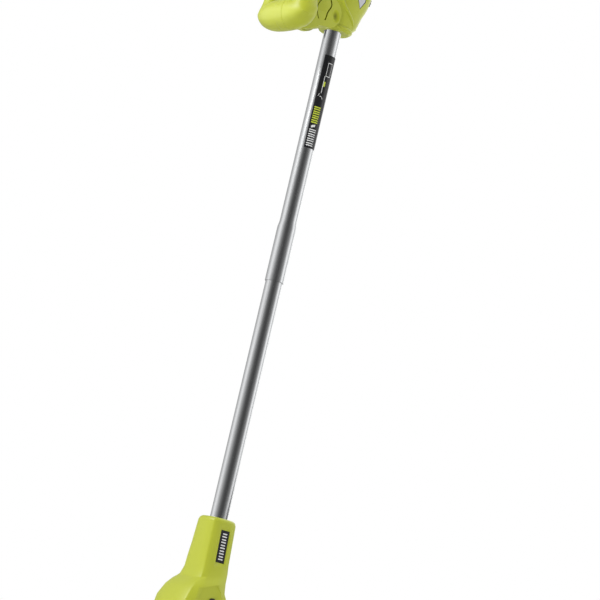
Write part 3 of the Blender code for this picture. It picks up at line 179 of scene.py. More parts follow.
# Badge on the neck, and the pairs of bars on it: shift along the badge and width
BADGE_FLOOR = -0.0238
BADGE_CENTRE = 0.0970
BADGE_SLOPE = math.radians(-3.6)
BADGE_FACE = 0.00128
BADGE_PAIRS = 5
BADGE_PITCH = 0.0080
BADGE_BARS = ((-0.0019, 0.0080), (0.0019, 0.0072))
BADGE_BAR_HEIGHT = 0.0017
BADGE_BAR_THICKNESS = 0.00012

# Camera, as the photograph was taken
CAMERA_PLACE = (-1.853, -2.621, 0.589)
CAMERA_TURN = (math.radians(89.36), 0.0, math.radians(-38.0))
CAMERA_LENS = 138.0
SENSOR_WIDTH = 36.0

# Light around the trimmer: place, size, power and whether gloss shows the lamp
WORLD_LEVEL = 0.50
LAMP_TARGET = (0.12, 0, 0.55)
LAMPS = (
    ("key", (-1.9, 0.5, 3.1), 1.3, 48.0, True),
    ("side", (2.3, -0.7, 2.0), 1.5, 7.0, False),
    ("front", (-2.4, -1.5, 2.6), 1.8, 17.0, False),
    ("rim", (2.3, 0.6, 1.3), 1.2, 16.0, True),
)
# Soft box beside the handle, which only the gloss of its two shells shows: place, size and power
SOFT_BOX_PLACE = (-0.58, 0.40, 1.18)
SOFT_BOX_SIZE = (1.6, 0.78)
SOFT_BOX_POWER = 6.4

# Floor that fades to white from the first of the two distances to the second
FLOOR_RADIUS = 14.0
FLOOR_TONE = 0.93
FLOOR_FADE = (0.30, 0.92)
FLOOR_LEAST = 0.30
FLOOR_GLOSS = 0.10

# Round screen, with its brightness by the angle from the camera's side to the right
SCREEN_RADIUS = 1.25
SCREEN_HEIGHT = 4.4
SCREEN_PLACE = (0.15, 0, 2.15)
SCREEN_STRENGTH = 1.27
SCREEN_LEVELS = (
    (-180, 0.34), (-128, 0.40), (-112, 0.54), (-94, 0.76), (-82, 0.76), (-69, 0.56), (-55, 0.38),
    (-42, 0.27), (-30, 0.18), (-18, 0.11), (-6, 0.065), (18, 0.045), (30, 0.07), (42, 0.11),
    (55, 0.16), (69, 0.28), (82, 0.70), (94, 1.0), (104, 0.85), (116, 0.45), (130, 0.42),
    (138, 1.0), (162, 1.0), (172, 0.40), (180, 0.34),
)


def length_field(name, description, default, least, most):
    return FloatProperty(
        name=name, description=description, default=default, min=least, max=most, unit="LENGTH")


def colour_field(name, description, default):
    return FloatVectorProperty(
        name=name, description=description, default=default, subtype="COLOR", size=3, min=0, max=1)


class TrimmerSizes(PropertyGroup):
    """Sizes of what is added to the frame."""

    shell_edge: length_field("Shell edge", "Rounding of the lime mouldings' edges", 0.0007, 0.0, 0.002)
    small_edge: length_field("Small edge", "Rounding of the small pieces' edges", 0.0004, 0.0, 0.001)
    neck_edge: length_field("Neck edge", "Rounding of the neck's corners and its rim", 0.0016, 0.0, 0.003)
    wrap_start: length_field("Wrap start", "Place along the tube where the wrap starts", 0.6836, 0.6, 0.75)
    wrap_length: length_field("Wrap length", "Length of the printed wrap along the tube", 0.141, 0.05, 0.2)


class TrimmerColours(PropertyGroup):
    """Colours of the finishes."""

    lime: colour_field("Lime", "Moulded shells", (0.535, 0.59, 0.028))
    black: colour_field("Black", "Moulded black pieces", (0.016, 0.016, 0.018))
    tube: colour_field("Tube", "Satin aluminium tube", (0.78, 0.79, 0.80))
    steel: colour_field("Steel", "Plated screws and pins", (0.55, 0.56, 0.58))
    rubber: colour_field("Rubber", "Soft grips and gland", (0.022, 0.022, 0.023))
    plate: colour_field("Plate", "Pale plate on the housing", (0.66, 0.67, 0.69))
    line: colour_field("Line", "Nylon cutting line", (0.72, 0.14, 0.035))


def sizes():
    return bpy.context.scene.trimmer_sizes


def colours():
    return bpy.context.scene.trimmer_colours


def only(*pieces):
    """Select just these pieces, the first of them active."""
    bpy.ops.object.select_all(action="DESELECT")
    for piece in pieces:
        piece.select_set(True)
    bpy.context.view_layer.objects.active = pieces[0]


def settle(piece, place):
    """Put a piece in place with its origin at the world's own."""
    bpy.context.view_layer.update()
    piece.matrix_world = place @ piece.matrix_world
    only(piece)
    bpy.ops.object.transform_apply(location=True, rotation=True, scale=True)
    return piece


def faces_out(piece):
    """Turn every face of a closed shape outwards."""
    only(piece)
    bpy.ops.object.mode_set(mode="EDIT")
    bpy.ops.mesh.select_all(action="SELECT")
    bpy.ops.mesh.normals_make_consistent(inside=False)
    bpy.ops.object.mode_set(mode="OBJECT")


def apply_modifiers(piece):
    """Turn a piece's modifiers into mesh, in their order."""
    only(piece)
    for step in list(piece.modifiers):
        bpy.ops.object.modifier_apply(modifier=step.name)
    return piece


def smooth(piece, angle):
    """Smooth shading that keeps wide flat faces flat."""
    only(piece)
    bpy.ops.object.shade_smooth_by_angle(angle=math.radians(angle))
    step = piece.modifiers.new("Face weight", "WEIGHTED_NORMAL")
    step.keep_sharp = True
    return apply_modifiers(piece)


def merged_copy(node, name):
    """Copy of a node with its loose triangles joined and its flat faces whole."""
    source = FRAME["nodes"][node]
    piece = bpy.data.objects.new(name, source.data.copy())
    piece.data.materials.clear()
    bpy.context.scene.collection.objects.link(piece)
    only(piece)
    bpy.ops.object.mode_set(mode="EDIT")
    bpy.ops.mesh.select_all(action="SELECT")
    bpy.ops.mesh.remove_doubles(threshold=JOIN_REACH)
    bpy.ops.mesh.dissolve_limited(angle_limit=FLAT_ANGLE)
    bpy.ops.object.mode_set(mode="OBJECT")
    return piece


def round_edges(piece, width, segments, angle, seam, where):
    """Round what is sharper than the angle; without the seam, a half's parting edge stays as it is.

    Where only some edges are wanted, each is rounded as far as the faces beside it leave room."""
    limit = math.radians(angle)
    shape = bmesh.new()
    shape.from_mesh(piece.data)
    weights = shape.edges.layers.float.new("bevel_weight_edge")
    chosen = set()
    for edge in shape.edges:
        if len(edge.link_faces) != 2 or edge.calc_face_angle(0) < limit:
            continue
        if not seam and all(abs(end.co.y) < SEAM_REACH for end in edge.verts):
            continue
        if where and not where(edge):
            continue
        chosen.add(edge)
    for edge in chosen:
        edge[weights] = 1.0
        if where:
            beside = [other.calc_length() for end in edge.verts for other in end.link_edges
                      if other not in chosen]
            edge[weights] = min(1.0, EDGE_ROOM * min(beside, default=width) / width)
    shape.to_mesh(piece.data)
    shape.free()
    step = piece.modifiers.new("Rounded edges", "BEVEL")
    step.width = width
    step.segments = segments
    step.limit_method = "WEIGHT"
    step.use_clamp_overlap = where is None
    apply_modifiers(piece)


def finer(piece, levels, angle=30):
    """Smoother curved surfaces: subdivision that keeps what is sharper than the angle."""
    shape = bmesh.new()
    shape.from_mesh(piece.data)
    bmesh.ops.triangulate(shape, faces=[face for face in shape.faces if len(face.verts) > 4])
    creases = shape.edges.layers.float.new("crease_edge")
    for edge in shape.edges:
        if len(edge.link_faces) != 2 or edge.calc_face_angle(0) > math.radians(angle):
            edge[creases] = 1.0
    shape.to_mesh(piece.data)
    shape.free()
    step = piece.modifiers.new("Finer", "SUBSURF")
    step.levels = levels
    step.render_levels = levels
    apply_modifiers(piece)


def close_seam(piece):
    """Bring a half's parting face to the middle plane, so that no line shows."""
    for vertex in piece.data.vertices:
        if abs(vertex.co.y) < SEAM_REACH:
            vertex.co.y = 0.0


def in_order(piece):
    """Put a mesh's faces in an order that is the same in every run."""
    points = [vertex.co.copy() for vertex in piece.data.vertices]
    faces = []
    for face in piece.data.polygons:
        corners = list(face.vertices)
        first = corners.index(min(corners))
        faces.append(corners[first:] + corners[:first])
    piece.data.clear_geometry()
    piece.data.from_pydata(points, [], sorted(faces))


def cut(piece, *tools, operation="DIFFERENCE"):
    """Take the tools' shapes out of a piece, or join them to it, with the finishes that they carry."""
    for tool in tools:
        faces_out(tool)
        in_order(tool)
        step = piece.modifiers.new("Cut", "BOOLEAN")
        step.operation = operation
        step.material_mode = "TRANSFER" if tool.data.materials else "INDEX"
        step.solver = "EXACT"
        step.object = tool
        apply_modifiers(piece)
        bpy.data.objects.remove(tool)


def prism(outline, place, depth):
    """Solid with a flat outline in its own XY plane, reaching down its Z axis."""
    bpy.ops.object.select_all(action="DESELECT")
    bpy.ops.mesh.primitive_circle_add(vertices=len(outline), radius=1.0, fill_type="NGON")
    solid = bpy.context.object
    for vertex, (x, y) in zip(solid.data.vertices, outline):
        vertex.co = (x, y, 0)
    bpy.ops.object.mode_set(mode="EDIT")
    bpy.ops.mesh.select_all(action="SELECT")
    bpy.ops.mesh.extrude_region_move(TRANSFORM_OT_translate={"value": (0, 0, -depth)})
    bpy.ops.object.mode_set(mode="OBJECT")
    return settle(solid, place)


def ribbon(points, width):
    """Outline of an even strip along a line of points."""
    left, right = [], []
    for at, point in enumerate(points):
        ahead = Vector(points[min(at + 1, len(points) - 1)]) - Vector(points[max(at - 1, 0)])
        ahead.normalize()
        side = Vector((-ahead.y, ahead.x)) * width / 2
        left.append(tuple(Vector(point) + side))
        right.append(tuple(Vector(point) - side))
    return left + right[::-1]


def joined(pieces, name):
    """One piece of several, under one name."""
    only(*pieces)
    bpy.ops.object.join()
    piece = bpy.context.object
    piece.name = name
    return piece


def round_tool(radius, length, place, sides=32):
    """Straight round bar about its own Z axis."""
    bpy.ops.object.select_all(action="DESELECT")
    bpy.ops.mesh.primitive_cylinder_add(vertices=sides, radius=radius, depth=length)
    return settle(bpy.context.object, place)


def block_tool(size, place):
    """Box with its middle at its origin."""
    bpy.ops.object.select_all(action="DESELECT")
    bpy.ops.mesh.primitive_cube_add(size=1.0)
    tool = bpy.context.object
    tool.scale = size
    return settle(tool, place)


def facing(side):
    """Place on the front handle's pivot axis at this Y, turned so that its Z axis points left."""
    return HANDLE_FRAME @ Matrix.Translation((0, side, 0)) @ Matrix.Rotation(math.pi / 2, 4, "X")


def dress(piece, body, material, slot, *nodes):
    """Give a piece its body and, unless it carries more than one, its finish, and hide the nodes that it
    stands for.
    """
    if len(piece.data.materials) < 2:
        piece.data.materials.clear()
        piece.data.materials.append(material)
    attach(piece, body)
    if nodes:
        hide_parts(*nodes)
    return piece


def body_of_node(node):
    for body, members in FRAME["record"]["behaviour"]["bodies"].items():
        if node in members:
            return body
    raise RuntimeError("no body holds " + node)


def slot_of_node(node):
    for part in FRAME["record"]["subparts"]:
        if part["node"] == node:
            return part["material_slot"]
    raise RuntimeError("no slot is given for " + node)


def rounded_node(node, look, width, segments=2, angle=32, shade=38, seam=True, where=None,
                 shaping=None, levels=0, carving=None, added=(), tools=()):
    """Finer copy of a node that stands for it.

    It is shaped, made finer and carved, then shapes are added and tools cut, and its edges are rounded."""
    piece = merged_copy(node, node + "_form")
    # A tool's finish is carried over only to a piece that has its own
    piece.data.materials.append(finish_of(look))
    if not seam:
        close_seam(piece)
    if shaping:
        shaping(piece)
    if levels:
        finer(piece, levels)
    if carving:
        carving(piece)
    for extra in added:
        cut(piece, extra, operation="UNION")
    cut(piece, *tools)
    if width > 0:
        round_edges(piece, width, segments, angle, seam, where)
    smooth(piece, shade)
    return dress(piece, body_of_node(node), finish_of(look), slot_of_node(node), node)


def bare_node(node, material):
    """Give a node whose shape stays a better finish."""
    mesh = FRAME["nodes"][node].data
    mesh.materials.clear()
    mesh.materials.append(material)


class Finish:
    """Node-based finish, started from a plain shader."""

    def __init__(self, name, colour, roughness, metallic=0.0):
        self.material = bpy.data.materials.new(name)
        self.material.use_nodes = True
        self.nodes = self.material.node_tree.nodes
        self.links = self.material.node_tree.links
        self.shader = self.nodes["Principled BSDF"]
        self.colour = tuple(colour)
        self.shader.inputs["Base Color"].default_value = (*self.colour, 1)
        self.shader.inputs["Roughness"].default_value = roughness
        self.shader.inputs["Metallic"].default_value = metallic
        self.material.diffuse_color = (*self.colour, 1)

    def add(self, kind, **values):
        """New node with these settings."""
        node = self.nodes.new(kind)
        for key, value in values.items():
            setattr(node, key, value)
        return node

    def place(self, scale=(1, 1, 1), turn=(0, 0, 0), move=(0, 0, 0)):
        """The object's own coordinates, scaled, turned and moved."""
        source = self.add("ShaderNodeTexCoord")
        mapping = self.add("ShaderNodeMapping")
        mapping.inputs["Scale"].default_value = scale
        mapping.inputs["Rotation"].default_value = turn
        mapping.inputs["Location"].default_value = move
        self.links.new(source.outputs["Object"], mapping.inputs["Vector"])
        return mapping.outputs["Vector"]

    def noise(self, vector, scale, detail=3.0, rough=0.5):
        node = self.add("ShaderNodeTexNoise")
        node.inputs["Scale"].default_value = scale
        node.inputs["Detail"].default_value = detail
        node.inputs["Roughness"].default_value = rough
        self.links.new(vector, node.inputs["Vector"])
        return node.outputs["Fac"]

    def span(self, value, low, high, start=0.0, end=1.0):
        """Value carried from one range to another."""
        node = self.add("ShaderNodeMapRange")
        node.inputs["From Min"].default_value = start
        node.inputs["From Max"].default_value = end
        node.inputs["To Min"].default_value = low
        node.inputs["To Max"].default_value = high
        self.links.new(value, node.inputs["Value"])
        return node.outputs["Result"]

    def tint(self, value, dark, light):
        """Colour that moves between two shares of the finish's own."""
        node = self.add("ShaderNodeMix", data_type="RGBA")
        node.inputs["A"].default_value = (*[min(1, part * dark) for part in self.colour], 1)
        node.inputs["B"].default_value = (*[min(1, part * light) for part in self.colour], 1)
        self.links.new(value, node.inputs["Factor"])
        self.links.new(node.outputs["Result"], self.shader.inputs["Base Color"])

    def rough(self, value, low, high):
        """Roughness that follows the middle part of a noise."""
        middle = self.span(value, low, high, start=0.3, end=0.7)
        self.links.new(middle, self.shader.inputs["Roughness"])

    def bump(self, height, strength, distance):
        node = self.add("ShaderNodeBump")
        node.inputs["Strength"].default_value = strength
        node.inputs["Distance"].default_value = distance
        self.links.new(height, node.inputs["Height"])
        self.links.new(node.outputs["Normal"], self.shader.inputs["Normal"])


def moulded(name, colour, roughness, grain, strength=0.0, spread=0.03):
    """Moulded plastic: slow shade drift, fine grain and slightly uneven gloss."""
    finish = Finish(name, colour, roughness)
    vector = finish.place()
    drift = finish.noise(vector, scale=18.0, detail=2.0)
    finish.tint(drift, dark=1.0 - spread, light=1.0 + spread)
    fine = finish.noise(vector, scale=grain, detail=2.0, rough=0.55)
    finish.rough(fine, low=roughness - 0.05, high=roughness + 0.06)
    if strength:
        finish.bump(fine, strength, distance=0.0002)
    return finish


def lime_finish():
    finish = moulded("lime_moulding", colours().lime, roughness=0.40, grain=620.0, strength=0.035)
    finish.shader.inputs["Specular IOR Level"].default_value = 0.5
    finish.shader.inputs["Coat Weight"].default_value = 0.35
    finish.shader.inputs["Coat Roughness"].default_value = 0.38
    return finish.material


def lime_shade_finish():
    """Lime with painted shade that darkens softly towards the middle of the lug's thumb dent."""
    finish = moulded("lime_dent_painted_shade", colours().lime, roughness=0.55, grain=900.0, strength=0.12)
    finish.shader.inputs["Specular IOR Level"].default_value = 0.3
    across = math.sqrt(DENT_RADIUS ** 2 - (DENT_CENTRE[1] - LUG_FACE) ** 2)
    scale = Vector((1 / (across * DENT_SHAPE[0]), 0.0, 1 / (across * DENT_SHAPE[1])))
    centre = HANDLE_FRAME.translation + Vector(DENT_CENTRE)
    reach = finish.add("ShaderNodeVectorMath", operation="LENGTH")
    finish.links.new(finish.place(scale=scale, move=-(centre * scale)), reach.inputs[0])
    fade = finish.add("ShaderNodeMapRange", interpolation_type="SMOOTHSTEP")
    finish.links.new(reach.outputs["Value"], fade.inputs["Value"])
    finish.tint(fade.outputs["Result"], dark=DENT_SHADE, light=1.0)
    return finish.material


def groove_finish():
    """Lime darkened as painted shade and without gloss, as it looks in a narrow, shaded line."""
    dark = tuple(part * 0.40 for part in colours().lime)
    finish = moulded("lime_groove_painted_shade", dark, roughness=0.8, grain=500.0, strength=0.2)
    finish.shader.inputs["Specular IOR Level"].default_value = 0.0
    return finish.material


def black_finish(name="black_moulding", roughness=0.5, strength=0.3):
    return moulded(name, colours().black, roughness, 1400.0, strength, spread=0.12).material


def rubber_finish():
    """Soft grip with rows of small raised dots."""
    finish = moulded("soft_grip", colours().rubber, roughness=0.72, grain=1800.0, spread=0.1)
    dots = finish.add("ShaderNodeTexVoronoi", feature="SMOOTH_F1")
    dots.inputs["Scale"].default_value = 1.0
    dots.inputs["Randomness"].default_value = 0.0
    dots.inputs["Smoothness"].default_value = 0.3
    turned = finish.place(scale=(270, 270, 270), turn=(0, math.radians(32), 0))
    finish.links.new(turned, dots.inputs["Vector"])
    raised = finish.span(dots.outputs["Distance"], low=1.0, high=0.0, start=0.12, end=0.42)
    finish.bump(raised, strength=0.5, distance=0.0007)
    finish.shader.inputs["Specular IOR Level"].default_value = 0.35
    return finish.material


def tube_finish():
    """Satin tube: fine streaks drawn along it, with faint rub marks."""
    finish = Finish("satin_tube", colours().tube, roughness=0.3, metallic=1.0)
    turned = finish.place(turn=(0, -LEAN, 0))
    stretch = finish.add("ShaderNodeMapping")
    stretch.inputs["Scale"].default_value = (1.0, 1.0, 0.02)
    finish.links.new(turned, stretch.inputs["Vector"])
    streak = finish.noise(stretch.outputs["Vector"], scale=2600.0, detail=3.0, rough=0.6)
    wear = finish.noise(turned, scale=24.0, detail=4.0, rough=0.65)
    finish.tint(streak, dark=0.93, light=1.05)
    both = finish.add("ShaderNodeMath", operation="MULTIPLY_ADD")
    both.inputs[1].default_value = 0.6
    finish.links.new(streak, both.inputs[0])
    finish.links.new(finish.span(wear, low=0.0, high=0.4), both.inputs[2])
    roughness = finish.span(both.outputs["Value"], low=0.15, high=0.30, start=0.1, end=0.9)
    finish.links.new(roughness, finish.shader.inputs["Roughness"])
    finish.bump(streak, strength=0.05, distance=0.0001)
    finish.shader.inputs["Anisotropic"].default_value = 0.35
    return finish.material


def steel_finish():
    finish = Finish("plated_steel", colours().steel, roughness=0.32, metallic=1.0)
    marks = finish.noise(finish.place(), scale=1200.0, detail=3.0)
    finish.tint(marks, dark=0.88, light=1.08)
    finish.rough(marks, low=0.26, high=0.42)
    finish.bump(marks, strength=0.06, distance=0.0001)
    return finish.material


def plain_metal(name, colour, roughness):
    finish = Finish(name, colour, roughness, metallic=1.0)
    marks = finish.noise(finish.place(), scale=600.0, detail=4.0)
    finish.tint(marks, dark=0.75, light=1.1)
    finish.rough(marks, low=roughness - 0.06, high=roughness + 0.1)
    finish.bump(marks, strength=0.15, distance=0.0002)
    return finish.material


def line_finish():
    finish = moulded("nylon_line", colours().line, roughness=0.3, grain=500.0, strength=0.1, spread=0.1)
    return finish.material


def plate_finish():
    return moulded("pale_plate", colours().plate, roughness=0.32, grain=800.0, strength=0.08).material


def mark_finish(name, colour):
    return moulded(name, colour, roughness=0.42, grain=900.0, strength=0.05, spread=0.02).material


FINISHES = {}


def finish_of(name):
    """Material of a finish, made when it is first asked for."""
    if name not in FINISHES:
        makers = {
            "lime": lime_finish, "dent_painted_shade": lime_shade_finish, "groove": groove_finish,
            "black": black_finish, "rubber": rubber_finish, "tube": tube_finish,
            "steel": steel_finish, "line": line_finish, "plate": plate_finish,
            "ferrite": lambda: plain_metal("dull_ferrite", (0.05, 0.05, 0.055), roughness=0.6),
            "copper": lambda: plain_metal("varnished_copper", (0.62, 0.27, 0.12), roughness=0.35),
            "film": lambda: black_finish("black_film", roughness=0.22, strength=0.03),
            "white_mark": lambda: mark_finish("white_print", (0.86, 0.87, 0.86)),
            "lime_mark": lambda: mark_finish("lime_print", (0.62, 0.72, 0.05)),
        }
        FINISHES[name] = makers[name]()
    return FINISHES[name]


class TRIMMER_OT_stage(Operator):
    """Add the pale floor, the soft lights and the photograph's camera"""

    bl_idname = "trimmer.stage"
    bl_label = "Stage"

    def execute(self, context):
        scene = context.scene
        scene.view_settings.view_transform = "Standard"
        self.floor()
        self.world(scene)
        self.lights()
        self.screen()
        self.soft_box()
        bpy.ops.object.camera_add(location=CAMERA_PLACE, rotation=CAMERA_TURN)
        camera = context.object
        camera.name = "photo_camera"
        camera.data.lens = CAMERA_LENS
        camera.data.sensor_width = SENSOR_WIDTH
        camera.data.clip_end = 100.0
        scene.camera = camera
        return {"FINISHED"}

    def floor(self):
        """Pale floor that keeps the trimmer's shadow and fades to white around it."""
        bpy.ops.object.select_all(action="DESELECT")
        bpy.ops.mesh.primitive_circle_add(vertices=96, radius=FLOOR_RADIUS, fill_type="NGON")
        floor = bpy.context.object
        floor.name = "pale_floor"
        material, nodes, links = self.blank("pale_floor")
        shader = nodes["Principled BSDF"]
        shader.inputs["Base Color"].default_value = (FLOOR_TONE, FLOOR_TONE, FLOOR_TONE, 1)
        shader.inputs["Roughness"].default_value = 0.9
        shader.inputs["Specular IOR Level"].default_value = 0.0
        glow = nodes.new("ShaderNodeEmission")
        glow.inputs["Color"].default_value = (1, 1, 1, 1)
        where = nodes.new("ShaderNodeTexCoord")
        reach = nodes.new("ShaderNodeVectorMath")
        reach.operation = "LENGTH"
        links.new(where.outputs["Object"], reach.inputs[0])
        fade = nodes.new("ShaderNodeMapRange")
        fade.interpolation_type = "SMOOTHSTEP"
        fade.inputs["From Min"].default_value = FLOOR_FADE[0]
        fade.inputs["From Max"].default_value = FLOOR_FADE[1]
        fade.inputs["To Min"].default_value = FLOOR_LEAST
        fade.inputs["To Max"].default_value = 1.0
        links.new(reach.outputs["Value"], fade.inputs["Value"])
        path = nodes.new("ShaderNodeLightPath")
        share = nodes.new("ShaderNodeMath")
        share.operation = "MULTIPLY_ADD"
        links.new(path.outputs["Is Camera Ray"], share.inputs[0])
        links.new(fade.outputs["Result"], share.inputs[1])
        links.new(path.outputs["Is Glossy Ray"], share.inputs[2])
        level = nodes.new("ShaderNodeMath")
        level.operation = "MULTIPLY_ADD"
        level.inputs[1].default_value = FLOOR_GLOSS
        links.new(path.outputs["Is Glossy Ray"], level.inputs[0])
        links.new(path.outputs["Is Camera Ray"], level.inputs[2])
        links.new(level.outputs["Value"], glow.inputs["Strength"])
        mix = nodes.new("ShaderNodeMixShader")
        links.new(share.outputs["Value"], mix.inputs["Fac"])
        links.new(shader.outputs["BSDF"], mix.inputs[1])
        links.new(glow.outputs["Emission"], mix.inputs[2])
        links.new(mix.outputs["Shader"], nodes["Material Output"].inputs["Surface"])
        floor.data.materials.append(material)

    def blank(self, name):
        """New node-based material, with its nodes and links."""
        material = bpy.data.materials.new(name)
        material.use_nodes = True
        return material, material.node_tree.nodes, material.node_tree.links

    def world(self, scene):
        """Surroundings that are white to the camera and in gloss, and light the trimmer less than that."""
        world = bpy.data.worlds.new("studio")
        world.use_nodes = True
        scene.world = world
        nodes, links = world.node_tree.nodes, world.node_tree.links
        back = nodes["Background"]
        back.inputs["Color"].default_value = (1, 1, 1, 1)
        path = nodes.new("ShaderNodeLightPath")
        seen = nodes.new("ShaderNodeMath")
        seen.operation = "MAXIMUM"
        links.new(path.outputs["Is Camera Ray"], seen.inputs[0])
        links.new(path.outputs["Is Glossy Ray"], seen.inputs[1])
        level = nodes.new("ShaderNodeMapRange")
        level.inputs["To Min"].default_value = WORLD_LEVEL
        level.inputs["To Max"].default_value = 1.0
        links.new(seen.outputs["Value"], level.inputs["Value"])
        links.new(level.outputs["Result"], back.inputs["Strength"])

    def lights(self):
        """Round lamps that all point at the trimmer's middle."""
        for name, place, size, power, gloss in LAMPS:
            bpy.ops.object.light_add(type="AREA", location=place)
            lamp = bpy.context.object
            lamp.name = name + "_light"
            lamp.data.shape = "DISK"
            lamp.data.size = size
            lamp.data.energy = power
            lamp.visible_glossy = gloss
            self.point(lamp, place, LAMP_TARGET)

    def point(self, lamp, place, target):
        """Turn a lamp at a place towards its target."""
        aim = Vector(target) - Vector(place)
        lamp.rotation_euler = aim.to_track_quat("-Z", "Y").to_euler()

    def screen(self):
        """Round screen that only gloss sees: dim towards the camera, bright at both sides."""
        bpy.ops.object.select_all(action="DESELECT")
        turn = math.atan2(CAMERA_PLACE[1], CAMERA_PLACE[0])
        bpy.ops.mesh.primitive_cylinder_add(
            vertices=96, radius=SCREEN_RADIUS, depth=SCREEN_HEIGHT, end_fill_type="NOTHING",
            location=SCREEN_PLACE, rotation=(0, 0, turn))
        screen = bpy.context.object
        screen.name = "round_screen"
        material, nodes, links = self.blank("round_screen")
        nodes.remove(nodes["Principled BSDF"])
        where = nodes.new("ShaderNodeTexCoord")
        around = nodes.new("ShaderNodeTexGradient")
        around.gradient_type = "RADIAL"
        links.new(where.outputs["Object"], around.inputs["Vector"])
        ramp = nodes.new("ShaderNodeValToRGB")
        stops = ramp.color_ramp.elements
        for at, (angle, level) in enumerate(SCREEN_LEVELS):
            position = 0.5 + angle / 360
            if at == 0:
                stop = stops[0]
            elif at == len(SCREEN_LEVELS) - 1:
                stop = stops[-1]
            else:
                stop = stops.new(position)
            stop.position = position
            stop.color = (level, level, level, 1)
        links.new(around.outputs["Color"], ramp.inputs["Fac"])
        glow = nodes.new("ShaderNodeEmission")
        glow.inputs["Strength"].default_value = SCREEN_STRENGTH
        links.new(ramp.outputs["Color"], glow.inputs["Color"])
        links.new(glow.outputs["Emission"], nodes["Material Output"].inputs["Surface"])
        screen.data.materials.append(material)
        screen.visible_camera = False
        screen.visible_diffuse = False
        screen.visible_shadow = False
        screen.visible_transmission = False

    def soft_box(self):
        """Lamp beside the handle that only gloss shows."""
        bpy.ops.object.light_add(type="AREA", location=SOFT_BOX_PLACE)
        lamp = bpy.context.object
        lamp.name = "soft_box"
        lamp.data.shape = "RECTANGLE"
        lamp.data.size, lamp.data.size_y = SOFT_BOX_SIZE
        lamp.data.energy = SOFT_BOX_POWER
        lamp.visible_camera = False
        lamp.visible_diffuse = False
        self.point(lamp, SOFT_BOX_PLACE, HANDLE_FRAME.translation)


